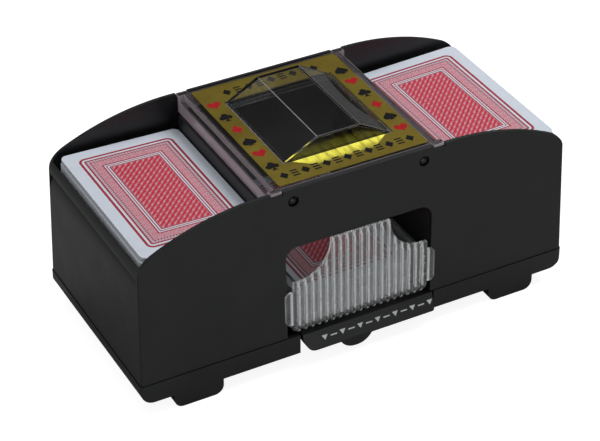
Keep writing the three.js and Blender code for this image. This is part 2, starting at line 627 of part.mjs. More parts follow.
// Height of the tray front's top edge at a distance from the middle.
function panelTopAt(reach) {
  if (reach <= TRAY.tab) return TRAY.top;
  const end = TRAY.x - TRAY.curveEnd;
  const share = Math.max(0, (end - reach) / (end - TRAY.tab));
  return TRAY.top - (TRAY.top - TRAY.shoulder) * Math.sqrt(1 - share ** 2);
}

function trayRib(x) {
  const half = RIB.width / 2;
  const low = TRAY.bottom + 0.4;
  const top = panelTopAt(Math.abs(x) + half) - RIB.stop;
  const outline = polygon([[x - half, low], [x + half, low], [x + half, top], [x - half, top]]);
  return frontSlab(outline, 0, TRAY.proud + RIB.height);
}

function cardTray() {
  const { proud, panel } = TRAY;
  const { x, wall, floor, front, back, sideBack, sideTop } = TRAY_BOX;
  const wings = roundedRectangle(-WING.x, WING.x, WING.bottom, WING.top, WING.corner);
  const pieces = [frontSlab(wings, 0.15, proud)];
  const ribsEachSide = Math.floor((TRAY.x - RIB.width) / RIB.pitch);
  for (let i = -ribsEachSide; i <= ribsEachSide; i += 1) pieces.push(trayRib(i * RIB.pitch));
  const low = TRAY.bottom + 0.1;
  pieces.push(box(-x, x, front, back, low, low + floor));
  for (const side of [-1, 1]) {
    pieces.push(box(side * (x - wall), side * x, front, sideBack, low, sideTop));
  }
  return join(frontSlab(trayPanelShape(), proud - panel, proud), ...pieces);
}

// ---- cards -------------------------------------------------------------------------------------------------
const cardShape = (x, y) => roundedRectangle(x - CARD.width / 2, x + CARD.width / 2,
  y - CARD.length / 2, y + CARD.length / 2, CARD.corner);

const trayCards = () => prismZ(cardShape(0, TRAY_STACK.y), TRAY_STACK.bottom, TRAY_STACK.top);

function rightDeck() {
  const { thickness, tilt, x, y, z } = DECK;
  const deck = toGeometry(prismZ(cardShape(0, 0), -thickness, 0));
  return toSolid(deck.rotateY(-tilt).translate(x, y, z));
}

// ---- cover, label and studs --------------------------------------------------------------------------------
function domeSection(inset) {
  const { x, ridge, height } = DOME;
  const top = COVER.top + height - inset;
  const low = COVER.top - COVER.plate - 2;
  return polygon([[-x + inset, low], [x - inset, low], [x - inset, COVER.top], [ridge - inset * 0.4, top],
    [-ridge + inset * 0.4, top], [-x + inset, COVER.top]]);
}

function topCover() {
  const { x, plateX, y, top, plate, ledge, skirt, thin } = COVER;
  const hollow = top - plate;
  let cover = join(
    box(-plateX, plateX, -y, y, ledge - 2.2, top),
    box(-x, x, -y, y, skirt, ledge));
  cover = cut(cover,
    box(-plateX + thin, plateX - thin, -y + thin, y - thin, 0, hollow),
    box(-x + thin, x - thin, -y + thin, y - thin, 0, ledge - plate));
  for (const side of [-1, 1]) {
    for (const end of [-1, 1]) {
      const ear = box(side * EAR.inner, side * EAR.outer, end * (y - 1), end * EAR.y, top - EAR.drop, top);
      cover = join(cover, ear, box(side * EAR.inner, side * x, end * (y - thin), end * y, ledge - 1, top));
    }
  }
  cover = join(cover, prismY(domeSection(0), -DOME.y, DOME.y));
  return cut(cover, prismY(domeSection(DOME.wall), -DOME.y + DOME.wall, DOME.y - DOME.wall));
}

function coverLabel() {
  const { x, y, thickness, gap } = LABEL;
  const low = COVER.top;
  return cut(
    box(-x, x, -y, y, low, low + thickness),
    box(-DOME.x - gap, DOME.x + gap, -DOME.y - gap, DOME.y + gap, low - 1, low + 1));
}

// A snap stud: its flange lies behind the wall and its domed nose fills the round hole.
function coverStud(side, end) {
  const { radius, flange, x, z } = STUD;
  const outside = wallY(z) + 0.2;
  const inside = wallY(z) - WALL - 0.15;
  const profile = [[0, inside - 0.9], [flange, inside - 0.9], [flange, inside], [radius, inside],
    [radius, outside - 1], [radius * 0.75, outside - 0.3], [0, outside]];
  const geometry = new THREE.LatheGeometry(profile.map(([r, y]) => new THREE.Vector2(r, y)), 12);
  if (end < 0) geometry.rotateZ(Math.PI);
  return toSolid(geometry.translate(side * x, 0, z));
}

// ---- battery doors and screws ------------------------------------------------------------------------------
function batteryDoor() {
  const { inner, outer, front, back, thickness, gap } = DOOR;
  const plate = box(inner + gap, outer - gap, front + gap, back - gap, BASE_BOTTOM, BASE_BOTTOM + thickness);
  const grips = [0, 1, 2].map((i) => {
    const y = back - 5 - i * 2.4;
    return box(60, 72, y, y + 1, BASE_BOTTOM - 1, BASE_BOTTOM + 0.4);
  });
  return cut(plate, ...grips);
}

function baseScrew(side, end) {
  const at = [side * SCREW.x, end * SCREW.y];
  const seat = SCREW.recess - 0.05;
  const slot = box(at[0] - 3, at[0] + 3, at[1] - 0.4, at[1] + 0.4, 0, seat - 1);
  const head = cut(rod('z', at, SCREW.head, seat - 1.8, seat), slot);
  return join(head, rod('z', at, SCREW.shank, seat - 0.5, 28, 12));
}

// ---- assembly ----------------------------------------------------------------------------------------------
const assembly = new THREE.Group();
assembly.position.y = CENTRING;

function add(name, solid, finish) {
  const mesh = new THREE.Mesh(toGeometry(solid), finish);
  mesh.name = name;
  assembly.add(mesh);
  return mesh;
}

// Adds a right-hand piece and its mirror image on the left.
function addPair(name, solid, finish) {
  const right = add(`right_${name}`, solid, finish);
  const left = new THREE.Mesh(mirrored(right.geometry), finish);
  left.name = `left_${name}`;
  assembly.add(left);
}

add('upper_housing', upperHousing(), BLACK);
add('base_pan', basePan(), BLACK);
addPair('card_bed', cardBed(), INNER_BLACK);
addPair('gate_plate', gatePlate(), INNER_BLACK);
add('gear_plate', gearPlate(), INNER_BLACK);
addPair('battery_inner', cell(CELL.inner, false), CELL_SKIN);
addPair('battery_outer', cell(CELL.outer, true), CELL_SKIN);
const cellSpan = [CELL.inner - 8, CELL.outer + 8];
addPair('front_contact', contactStrip(...cellSpan, CELL.front - 0.6), BRASS);
addPair('rear_contact', contactStrip(...cellSpan, CELL.front + CELL.length + 0.3), BRASS);
add('motor_can', motorCan(), STEEL);
add('motor_end_cap', motorEndCap(), INNER_BLACK);
add('switch_block', switchBlock(), INNER_BLACK);
add('switch_leaf', switchLeaf(), BRASS);
add('lever_pin', leverPin(), STEEL);
add('lever_spring', leverSpring(), STEEL);
add('red_wire', redWire(), RED_WIRE);
add('black_wire', blackWire(), BLACK_WIRE);

for (const [side, sideName] of [[-1, 'left'], [1, 'right']]) {
  for (const [end, endName] of [[-1, 'front'], [1, 'rear']]) {
    add(`${sideName}_${endName}_screw`, baseScrew(side, end), STEEL);
    add(`${sideName}_${endName}_cover_stud`, coverStud(side, end), INNER_BLACK);
  }
}

add('press_lever', pressLever(), BLACK);
add('card_tray', cardTray(), CLEAR);
add('tray_cards', trayCards(), PAPER);
add('top_cover', topCover(), CLEAR);
add('cover_label', coverLabel(), GOLD);
addPair('battery_door', batteryDoor(), BLACK);
addPair('deck', rightDeck(), PAPER);

addPair('feed_shaft', shaft(FEED), STEEL);
addPair('feed_tyre_front', tyre(FEED, -26, -14), RUBBER);
addPair('feed_tyre_rear', tyre(FEED, 14, 26), RUBBER);
addPair('eject_shaft', shaft(EJECT), STEEL);
addPair('eject_tyre', tyre(EJECT, -24, 24), RUBBER);

const gearTrain = [
  { name: 'feed_gear', place: FEED, bore: SHAFT_HOLE, right: 0, left: leftFeedPhase },
  { name: 'eject_gear', place: EJECT, bore: SHAFT_HOLE, right: rightEjectPhase, left: leftEjectPhase },
  {
    name: 'idler_gear', place: IDLER, bore: POST.idler + POST.running,
    right: rightIdlerPhase, left: leftIdlerPhase,
  },
  {
    name: 'transfer_gear', place: TRANSFER, bore: POST.transfer + POST.running,
    right: rightTransferPhase, left: leftTransferPhase,
  },
];
for (const { name, place, bore, right, left } of gearTrain) {
  add(`right_${name}`, outerGear(place, place.teeth, right, bore), GEAR_WHITE);
  add(`left_${name}`, outerGear(across(place), place.teeth, left, bore), GEAR_WHITE);
}
add('compound_gear', compoundGear(), GEAR_WHITE);
add('motor_pinion', motorPinion(), BRASS);

const shuffler = new THREE.Group();
shuffler.add(assembly);
export default shuffler;
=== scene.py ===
"""Looks of a two-deck card shuffler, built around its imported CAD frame.

Lengths are millimetres in the part's own frame, with Y measured from the middle of the housing.
They turn into metres when a mesh is made.
"""

import math
import random
from types import SimpleNamespace as Sizes

import bmesh
import bpy
from mathutils import Matrix, Vector


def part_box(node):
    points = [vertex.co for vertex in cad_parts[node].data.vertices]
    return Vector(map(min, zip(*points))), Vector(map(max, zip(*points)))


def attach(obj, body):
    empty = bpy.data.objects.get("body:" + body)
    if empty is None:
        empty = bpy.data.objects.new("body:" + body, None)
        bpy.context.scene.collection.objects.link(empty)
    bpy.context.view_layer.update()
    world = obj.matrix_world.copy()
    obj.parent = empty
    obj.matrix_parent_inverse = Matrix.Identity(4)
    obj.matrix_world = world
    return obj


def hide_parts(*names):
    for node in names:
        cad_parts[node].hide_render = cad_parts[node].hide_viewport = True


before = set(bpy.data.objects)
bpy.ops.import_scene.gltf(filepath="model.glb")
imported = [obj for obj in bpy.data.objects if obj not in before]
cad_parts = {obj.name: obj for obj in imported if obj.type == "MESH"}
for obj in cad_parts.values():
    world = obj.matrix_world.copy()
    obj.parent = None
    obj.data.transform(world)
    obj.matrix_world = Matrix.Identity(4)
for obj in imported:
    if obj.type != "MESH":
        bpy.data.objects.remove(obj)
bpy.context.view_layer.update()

MM = 0.001


def extent(node):
    """Lowest and highest corner of a CAD node, in millimetres, in the row frame."""
    low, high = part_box(node)
    return low / MM, high / MM


# ---- sizes that come from the frame ------------------------------------------------------------------------
housing_low, housing_high = extent("upper_housing")
pan_top = extent("base_pan")[1].z
cover_high = extent("top_cover")[1]
label_low, label_high = extent("cover_label")

MIDDLE_Y = (housing_low.y + housing_high.y) / 2
LENGTH = housing_high.x - housing_low.x
DEPTH = housing_high.y - housing_low.y
SEAM = housing_low.z
ARCH_TOP = housing_high.z
SEAM_GAP = 0.3
BASE_TOP = min(pan_top, SEAM - SEAM_GAP)
COVER_X = cover_high.x
DOME_TOP = cover_high.z

# ---- sizes of the drawn details ----------------------------------------------------------------------------
DRAFT = math.tan(math.radians(1.6))
WALL = 1.6
VERTICAL_CORNER = 1.3
ARCH_START = 46
ARCH_RADIUS = 122
SHOULDER_X = 98.5
END_TOP = 71.5
LIP = Sizes(inside=104.1, bottom=59, start=62.5)
TALL = 125
BASE_STEP = 0.4
BASE_BOTTOM = 7.6
BASE_CORNER = 6.5
PLATE = 2.0
FOOT = Sizes(inner=69, outer=93, depth=10, corner=4.5)
CARD = Sizes(width=58, length=88, corner=3.2, pitch=0.3, thickness=0.27)
DECK = Sizes(cards=50, tilt=0.035, x=73.9, y=-1.5, z=80.6)
COVER = Sizes(plate_x=40.2, y=44.6, plate=1.6, ledge=92.3, skirt=86.6, thin=1.3)
EAR = Sizes(inner=37.7, outer=42.9, y=46.6, drop=1.3)
NOTCH = Sizes(inner=37.3, outer=43.3, depth=1.6)
DOME = Sizes(x=27, y=28.4, ridge=10.6, wall=1.3)
STUD = Sizes(x=32.5, z=89, hole=2.6, flange=3.3)
WINDOW = Sizes(x=36.9, top=65.2, corner=6)
TRAY = Sizes(x=33.9, tab=14.8, curve_end=3, top=64.8, shoulder=47, bottom=19.2, proud=1.3, panel=1.6,
             fillet=4.6, foot=2)
TRAY_BOX = Sizes(x=31.6, wall=1.4, floor=1.6, back=41.6, side_back=20, side_top=44)
WING = Sizes(x=38.0, bottom=25, top=42.5, corner=2.5)
# clear_foot: the ribs' painted highlight runs above this height; bead: the middle of its band on the foot's
# rounding
RIB = Sizes(pitch=3.5, width=1.5, height=0.8, root=0.4, stop=1.2, clear_foot=24.4,
            bead=21.4)
TRAY_STACK = Sizes(y=-1.6, bottom=20.95, top=37.5)
BAR = Sizes(left=-29.5, right=37.5, top=17.2, bottom=8.4, front=52.7, back=46.5)
BUMP = Sizes(x=-3, half_width=9, depth=5)
CUTOUT = Sizes(left=-30.6, right=38.6, back=40.5)
PIVOT = Sizes(y=-28, z=12.6, radius=1.25, running=0.12)
LUG = Sizes(width=2.0, outside=0.4)
ARM = Sizes(lefts=(-26, 31), width=3.5, half=1.6, eye=3)
WEB = Sizes(front=-37.5, back=-35.5)
STRIKER = Sizes(left=26, right=30, front=-37, back=-16.4, rise=4.2)
BAY = Sizes(lap=1.6, rib=1.2, rear_gap=1.6, front_gap=1.7, top=29)
PARTITION = Sizes(inner=37.2, outer=38.6, top=21.6)
DOOR = Sizes(inner=40, outer=92, front=-37.5, back=8)
CELL = Sizes(front=-41, length=50)
MOTOR = Sizes(x=78.25, z=32, radius=10, front=12, back=36.4)
SCREW = Sizes(x=102.4, y=43.6, head=2.7, hole=1.65, boss=4.4, boss_top=40, recess=11.9)
BEAD_PITCH = 1.42
BEADED_RULE, SPECKLED_RULE = (10.45, 0.45), (9.5, 0.5)
SOLID_RULES = ((6.45, 0.6), (8.55, 0.45), (14.65, 0.32), (15.85, 0.26), (17.05, 0.3))
FIELD_START = 17.4
# GLARE sizes the painted, glowing patch on the gold film in front of the dome
GLARE = Sizes(reach=7.4, half_foot=24.0, half_tip=14.5)
SIDES = (-1, 1)


# ---- outlines ----------------------------------------------------------------------------------------------
def arc(centre_u, centre_v, radius, start, end, steps=8):
    """Points of a circular arc between two angles in degrees."""
    points = []
    for i in range(steps + 1):
        angle = math.radians(start + (end - start) * i / steps)
        points.append((centre_u + radius * math.cos(angle), centre_v + radius * math.sin(angle)))
    return points


def bend(start, control, end, steps=10):
    """Points of a quadratic curve, its first point left out."""
    points = []
    for i in range(1, steps + 1):
        t = i / steps
        a, b, c = (1 - t) ** 2, 2 * t * (1 - t), t * t
        points.append(tuple(a * start[k] + b * control[k] + c * end[k] for k in (0, 1)))
    return points


def rounded_rectangle(u0, u1, v0, v1, radius, steps=8):
    return (arc(u1 - radius, v0 + radius, radius, -90, 0, steps)
            + arc(u1 - radius, v1 - radius, radius, 0, 90, steps)
            + arc(u0 + radius, v1 - radius, radius, 90, 180, steps)
            + arc(u0 + radius, v0 + radius, radius, 180, 270, steps))


def on_side(side, near, far):
    """Both ends of a span that starts and stops at those distances on one side of the middle."""
    return sorted((side * near, side * far))


# ---- solids ------------------------------------------------------------------------------------------------
def link(name, data):
    obj = bpy.data.objects.new(name, data)
    bpy.context.scene.collection.objects.link(obj)
    return obj


def discard(*pieces):
    for piece in pieces:
        mesh = piece.data
        bpy.data.objects.remove(piece)
        bpy.data.meshes.remove(mesh)


def new_mesh(name, vertices, faces):
    """A mesh in metres from vertices in millimetres."""
    mesh = bpy.data.meshes.new(name)
    mesh.from_pydata([(x * MM, (y + MIDDLE_Y) * MM, z * MM) for x, y, z in vertices], [], faces)
    return mesh


def new_object(name, vertices, faces):
    """A solid with its faces turned outwards."""
    mesh = new_mesh(name, vertices, faces)
    work = bmesh.new()
    work.from_mesh(mesh)
    bmesh.ops.recalc_face_normals(work, faces=work.faces)
    work.to_mesh(mesh)
    work.free()
    return link(name, mesh)


def loft(loops):
    """A solid, closed at both ends, through rings of points that all have the same count."""
    count = len(loops[0])
    vertices = [point for ring in loops for point in ring]
    faces = []
    for level in range(len(loops) - 1):
        for i in range(count):
            j = (i + 1) % count
            faces.append((level * count + i, level * count + j,
                          (level + 1) * count + j, (level + 1) * count + i))
    faces.append(tuple(range(count)))
    faces.append(tuple((len(loops) - 1) * count + i for i in range(count)))
    return new_object("solid", vertices, faces)


def on_axis(axis, u, v, w):
    """A point whose outline coordinates are u and v and whose place along the axis is w."""
    return {"x": (w, u, v), "y": (u, w, v), "z": (u, v, w)}[axis]


def prism(axis, outline, start, end):
    return loft([[on_axis(axis, u, v, w) for u, v in outline] for w in (start, end)])


def box(x0, x1, y0, y1, z0, z1):
    return prism("z", [(x0, y0), (x1, y0), (x1, y1), (x0, y1)], z0, z1)


def turned(axis, centre, profile, segments):
    """A solid of revolution through (radius, place) pairs that start and end on the axis."""
    rings = []
    for radius, place in profile:
        ring = arc(centre[0], centre[1], max(radius, 0.01), 0, 360, segments)[:-1]
        rings.append([on_axis(axis, u, v, place) for u, v in ring])
    return loft(rings)


def rod(axis, centre, radius, start, end):
    return turned(axis, centre, [(radius, start), (radius, end)], 32)


def bake(obj):
    """Applies the object's modifiers."""
    graph = bpy.context.evaluated_depsgraph_get()
    mesh = bpy.data.meshes.new_from_object(obj.evaluated_get(graph))
    old = obj.data
    obj.modifiers.clear()
    obj.data = mesh
    bpy.data.meshes.remove(old)
    return obj


def combine(operation, base, tools):
    for tool in tools:
        modifier = base.modifiers.new(operation, "BOOLEAN")
        modifier.operation = operation
        modifier.solver = "EXACT"
        modifier.object = tool
    bake(base)
    discard(*tools)
    return base


def join(base, *tools):
    return combine("UNION", base, tools)


def cut(base, *tools):
    return combine("DIFFERENCE", base, tools)


def common(base, *tools):
    return combine("INTERSECT", base, tools)


def tidy(obj):
    """Merges doubled points and flat neighbours that the cuts leave."""
    work = bmesh.new()
    work.from_mesh(obj.data)
    bmesh.ops.remove_doubles(work, verts=work.verts, dist=0.004 * MM)
    bmesh.ops.dissolve_limit(work, angle_limit=math.radians(0.3), verts=work.verts, edges=work.edges)
    work.to_mesh(obj.data)
    work.free()


def shade(obj, sharp_angle=50):
    mesh = obj.data
    mesh.polygons.foreach_set("use_smooth", [True] * len(mesh.polygons))
    mesh.set_sharp_from_angle(angle=math.radians(sharp_angle))
    weighted = obj.modifiers.new("even_normals", "WEIGHTED_NORMAL")
    weighted.keep_sharp = True


def soften(obj, width, segments=3, angle=33, edge_slot=-1):
    """Rounds every edge sharper than the angle; edge_slot names the material slot of the rounded edges."""
    tidy(obj)
    add_bevel(obj, width, segments, angle)
    obj.modifiers["rounded_edges"].material = edge_slot
    bake(obj)
    shade(obj)
    return obj


def add_bevel(obj, width, segments, angle):
    modifier = obj.modifiers.new("rounded_edges", "BEVEL")
    modifier.width = width * MM
    modifier.segments = segments
    modifier.limit_method = "ANGLE"
    modifier.angle_limit = math.radians(angle)
    modifier.miter_outer = "MITER_ARC"
    modifier.use_clamp_overlap = True


def wear(obj, *materials):
    for material in materials:
        obj.data.materials.append(material)


def place(obj, name, body, slot, *materials, nodes=None):
    """Names a finished piece, gives it its materials and stands it in for its CAD nodes."""
    obj.name = name + "_visual"
    obj.data.name = name + "_visual"
    if not obj.data.materials:
        wear(obj, *materials)
    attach(obj, body)
    for node in nodes if nodes is not None else [name]:
        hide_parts(node)
    return obj


# ---- materials ---------------------------------------------------------------------------------------------
class Recipe:
    """A material in the making: short names for the nodes that the finishes use."""

    def __init__(self, name, **sockets):
        self.material = bpy.data.materials.new(name)
        self.material.use_nodes = True
        self.tree = self.material.node_tree
        self.shader = self.tree.nodes["Principled BSDF"]
        for label, value in sockets.items():
            self.shader.inputs[label.replace("_", " ")].default_value = value
        self.coordinates = self.tree.nodes.new("ShaderNodeTexCoord")

    def axes(self, source="Object"):
        """The place on the piece as its three coordinates."""
        node = self.tree.nodes.new("ShaderNodeSeparateXYZ")
        self.plug(node.inputs[0], self.coordinates.outputs[source])
        return node.outputs

    def plug(self, socket, value):
        if isinstance(value, bpy.types.NodeSocket):
            self.tree.links.new(value, socket)
        else:
            socket.default_value = value

    def math(self, operation, *values):
        node = self.tree.nodes.new("ShaderNodeMath")
        node.operation = operation
        for socket, value in zip(node.inputs, values):
            self.plug(socket, value)
        return node.outputs[0]

    def times(self, a, b):
        return self.math("MULTIPLY", a, b)

    def minus(self, a, b):
        return self.math("SUBTRACT", a, b)

    def larger(self, a, b):
        return self.math("MAXIMUM", a, b)

    def span(self, value, low, high, new_low=0.0, new_high=1.0):
        """Maps low to high onto new_low to new_high, held at both ends."""
        node = self.tree.nodes.new("ShaderNodeMapRange")
        for socket, number in zip(node.inputs, (value, low, high, new_low, new_high)):
            self.plug(socket, number)
        return node.outputs[0]

    def noise(self, size, detail=2.0, stretch=(1, 1, 1)):
        """Soft noise with features of that size in millimetres."""
        mapping = self.tree.nodes.new("ShaderNodeMapping")
        self.plug(mapping.inputs["Vector"], self.coordinates.outputs["Object"])
        mapping.inputs["Scale"].default_value = stretch
        node = self.tree.nodes.new("ShaderNodeTexNoise")
        self.plug(node.inputs["Vector"], mapping.outputs[0])
        node.inputs["Scale"].default_value = 1 / (size * MM)
        node.inputs["Detail"].default_value = detail
        return node.outputs["Fac"]

    def blend(self, factor, low, high):
        node = self.tree.nodes.new("ShaderNodeMix")
        node.data_type = "RGBA"
        self.plug(node.inputs["Factor"], factor)
        self.plug(node.inputs["A"], low)
        self.plug(node.inputs["B"], high)
        return node.outputs["Result"]

    def bump(self, height, distance, strength=1.0):
        node = self.tree.nodes.new("ShaderNodeBump")
        self.plug(node.inputs["Height"], height)
        node.inputs["Distance"].default_value = distance * MM
        node.inputs["Strength"].default_value = strength
        self.plug(self.shader.inputs["Normal"], node.outputs[0])

    def finish(self, label, value):
        self.plug(self.shader.inputs[label], value)

    def gloss(self, mask, low, high, smooth, rough):
        """Roughness that goes from smooth to rough as the mask goes from low to high."""
        self.finish("Roughness", self.span(mask, low, high, smooth, rough))


def rgb(red, green, blue):
    return (red, green, blue, 1.0)


def dimmed(colour, share):
    return rgb(*(channel * share for channel in colour[:3]))


def moulded_plastic(name, dark, light, roughness, grain=0.35, grain_depth=0.02):
    """Spark-eroded satin plastic: a fine grain, faint flow mottling and slightly uneven gloss."""
    recipe = Recipe(name, IOR=1.5)
    flow = recipe.noise(14, 4.0)
    fine = recipe.noise(grain, 2.0)
    recipe.finish("Base Color", recipe.blend(recipe.span(flow, 0.3, 0.7), dark, light))
    broad, small = recipe.span(flow, 0.3, 0.7, -0.03, 0.03), recipe.span(fine, 0.2, 0.8, -0.05, 0.05)
    uneven = recipe.math("ADD", broad, small)
    recipe.finish("Roughness", recipe.math("ADD", uneven, roughness))
    recipe.bump(fine, grain_depth)
    return recipe.material


def clear_plastic(name, tint, roughness, clarity, haze, lamp_share, milky_ribs_painted_highlight=False):
    """Injection-moulded clear plastic that lets lamps through, with flow lines and finger haze."""
    recipe = Recipe(name, IOR=1.5)
    recipe.finish("Base Color", tint)
    smears = recipe.noise(9, 5.0)
    gloss = recipe.span(smears, 0.45, 0.75, roughness, roughness + haze)
    # rib crests turn whiter, less clear and rougher: partly painted highlight and painted reflection
    if milky_ribs_painted_highlight:
        milky_highlight = rib_painted_highlight_mask(recipe)
        recipe.finish("Transmission Weight", recipe.span(milky_highlight, 0.0, 1.0, clarity, clarity - 0.6))
        gloss = recipe.math("MULTIPLY_ADD", milky_highlight, 0.2, gloss)
    else:
        recipe.finish("Transmission Weight", clarity)
    recipe.finish("Roughness", gloss)
    recipe.bump(recipe.noise(16, 1.0), 0.05, 0.35)
    path = recipe.tree.nodes.new("ShaderNodeLightPath")
    recipe.finish("Alpha", recipe.math("MULTIPLY_ADD", path.outputs["Is Shadow Ray"], -lamp_share, 1.0))
    return recipe.material


def rib_painted_highlight_mask(recipe):
    """1 on the crests of the tray front's ribs above the foot and in a band on the foot's rounding: partly
    thicker, whiter plastic, partly painted highlight and painted reflection.
    """
    place_x, place_y, place_z = recipe.axes()
    turns = recipe.times(place_x, 2 * math.pi / (RIB.pitch * MM))
    crest = recipe.span(recipe.math("COSINE", turns), 0.35, 0.85)
    behind = (MIDDLE_Y - DEPTH / 2 + 2) * MM
    in_front = recipe.math("LESS_THAN", place_y, behind)
    high = recipe.math("DIVIDE", place_z, MM)
    above_foot = recipe.span(high, RIB.clear_foot - 0.5, RIB.clear_foot + 0.5)
    milky_highlight = recipe.larger(above_foot, rule(recipe, high, RIB.bead, 0.7, 0.3))
    return recipe.times(crest, recipe.times(in_front, milky_highlight))


def metal(name, colour, roughness, brushed):
    recipe = Recipe(name, Metallic=1.0)
    streaks = recipe.noise(0.8, 3.0, brushed)
    cloud = recipe.noise(6, 3.0)
    recipe.finish("Base Color", recipe.blend(recipe.span(cloud, 0.35, 0.75), colour, dimmed(colour, 0.72)))
    recipe.gloss(streaks, 0.2, 0.8, roughness - 0.08, roughness + 0.1)
    recipe.bump(streaks, 0.01)
    return recipe.material


def rubber():
    recipe = Recipe("roller_rubber")
    recipe.finish("Specular IOR Level", 0.3)
    grit = recipe.noise(0.3, 3.0)
    recipe.finish("Base Color", recipe.blend(grit, rgb(0.018, 0.018, 0.019), rgb(0.045, 0.044, 0.043)))
    recipe.gloss(grit, 0.2, 0.8, 0.7, 0.9)
    recipe.bump(grit, 0.05)
    return recipe.material


def foil():
    """Printed gold film: fine brushing, cloudy gloss and a painted, glowing patch that stands in for the
    light the dome's front throws on it.
    """
    recipe = Recipe("gold_film", Metallic=0.5)
    recipe.finish("Specular IOR Level", 0.2)
    brushing = recipe.noise(0.5, 2.0, (0.08, 1, 1))
    cloud = recipe.noise(18, 3.0)
    patches = recipe.span(cloud, 0.3, 0.7, 0.0, 0.65)
    tone = recipe.math("MULTIPLY_ADD", recipe.span(brushing, 0.3, 0.7), 0.35, patches)
    film = recipe.blend(tone, rgb(0.18, 0.13, 0.018), rgb(0.27, 0.21, 0.032))
    # painted light: a brighter gold patch that also glows, in place of the light the dome's front throws on
    # the film
    glare = painted_dome_glare(recipe)
    recipe.finish("Base Color", recipe.blend(glare, film, rgb(0.80, 0.74, 0.08)))
    recipe.finish("Emission Color", rgb(1.0, 0.93, 0.12))
    recipe.finish("Emission Strength", recipe.times(glare, 0.8))
    recipe.gloss(brushing, 0.3, 0.7, 0.3, 0.42)
    recipe.bump(brushing, 0.006)
    return recipe.material


def painted_dome_glare(recipe):
    """Painted light: a streaky trapezoid in front of the dome, full at its foot, narrower and fainter further
    out.
    """
    place_x, place_y, _ = recipe.axes()
    foot_y, reach = (MIDDLE_Y - DOME.y) * MM, GLARE.reach * MM
    away = recipe.minus(foot_y, place_y)
    half_width = recipe.span(away, 0.0, reach, GLARE.half_foot * MM, GLARE.half_tip * MM)
    beside = recipe.minus(recipe.math("ABSOLUTE", place_x), half_width)
    inside = recipe.span(beside, -0.8 * MM, 0.4 * MM, 1.0, 0.0)
    fading = recipe.span(away, 0.0, reach, 1.0, 0.25)
    limits = recipe.times(recipe.span(away, reach - MM, reach, 1.0, 0.0), fading)
    limits = recipe.times(limits, recipe.math("GREATER_THAN", away, 0.0))
    streaks = recipe.span(recipe.noise(2.2, 2.0, (1, 0.25, 1)), 0.35, 0.65, 0.45, 1.0)
    return recipe.times(recipe.times(inside, limits), streaks)


def ink(name, colour):
    roughness = 0.6
    recipe = Recipe(name)
    recipe.finish("Specular IOR Level", 0.08)
    density = recipe.noise(0.6, 3.0)
    paler = rgb(*(channel * 1.25 + 0.004 for channel in colour[:3]))
    recipe.finish("Base Color", recipe.blend(recipe.span(density, 0.5, 0.8), colour, paler))
    recipe.gloss(density, 0.3, 0.7, roughness - 0.05, roughness + 0.08)
    return recipe.material


def paper_edge(name, share=1.0):
    """The cut edges of pasteboard: off-white with a grey core line."""
    recipe = Recipe(name)
    fibre = recipe.noise(0.35, 3.0, (0.3, 0.3, 3))
    # share darkens every colour, for a copy with painted shade
    core, white = dimmed((0.30, 0.31, 0.32), share), dimmed((0.62, 0.63, 0.64), share)
    recipe.finish("Base Color", recipe.blend(fibre, core, white))
    recipe.gloss(fibre, 0.3, 0.7, 0.65, 0.85)
    recipe.bump(fibre, 0.02)
    return recipe.material


def card_back(name, share=1.0):
    """A bordered red back: an outline, dotted rules, a plaited band and a basket lattice."""
    recipe = Recipe(name)
    recipe.finish("Specular IOR Level", 0.3)
    across, up, _ = recipe.axes("UV")
    x = recipe.times(recipe.minus(across, 0.5), CARD.width)
    y = recipe.times(recipe.minus(up, 0.5), CARD.length)
    depth, along = border_coordinates(recipe, x, y)
    tint = recipe.larger(plaited_band(recipe, depth, along), basket_field(recipe, depth, x, y))
    print_grain = recipe.span(recipe.noise(0.25, 2.0), 0.25, 0.75, 0.92, 1.0)
    # share darkens every colour, for a copy with painted shade
    dull, bright = dimmed((0.61, 0.66, 0.75), share), dimmed((0.69, 0.74, 0.82), share)
    paper = recipe.blend(recipe.noise(5, 4.0), dull, bright)
    red = dimmed((0.54, 0.003, 0.03), share)
    tinted = recipe.blend(recipe.times(tint, print_grain), paper, red)
    lines = recipe.times(card_rules(recipe, depth, along), print_grain)
    recipe.finish("Base Color", recipe.blend(lines, tinted, dimmed((0.34, 0.003, 0.018), share)))
    linen = recipe.noise(0.5, 1.0)
    recipe.gloss(linen, 0.3, 0.7, 0.42, 0.52)
    recipe.bump(linen, 0.008)
    return recipe.material


def border_coordinates(recipe, x, y):
    """Distance in from the card's edge, and the place along the nearest side."""
    corner = 9.2
    across_x = recipe.minus(recipe.math("ABSOLUTE", x), CARD.width / 2 - corner)
    across_y = recipe.minus(recipe.math("ABSOLUTE", y), CARD.length / 2 - corner)
    out_x = recipe.larger(across_x, 0.0)
    out_y = recipe.larger(across_y, 0.0)
    squares = recipe.math("ADD", recipe.math("POWER", out_x, 2.0), recipe.math("POWER", out_y, 2.0))
    outside = recipe.math("SQRT", squares)
    inside = recipe.math("MINIMUM", recipe.larger(across_x, across_y), 0.0)
    depth = recipe.minus(corner, recipe.math("ADD", outside, inside))
    beside = recipe.math("GREATER_THAN", across_x, across_y)
    along = recipe.math("ADD", recipe.times(beside, y),
                        recipe.times(recipe.minus(1.0, beside), x))
    return depth, along


def rule(recipe, value, centre, half_width, edge=0.08):
    """1 on a line of that half width, 0 away from it."""
    away = recipe.math("ABSOLUTE", recipe.minus(value, centre))
    return recipe.span(away, half_width - edge, half_width + edge, 1.0, 0.0)


def wave(recipe, value, period, shift=0.0):
    turns = recipe.math("MULTIPLY_ADD", value, 2 * math.pi / period, shift)
    return recipe.math("SINE", turns)


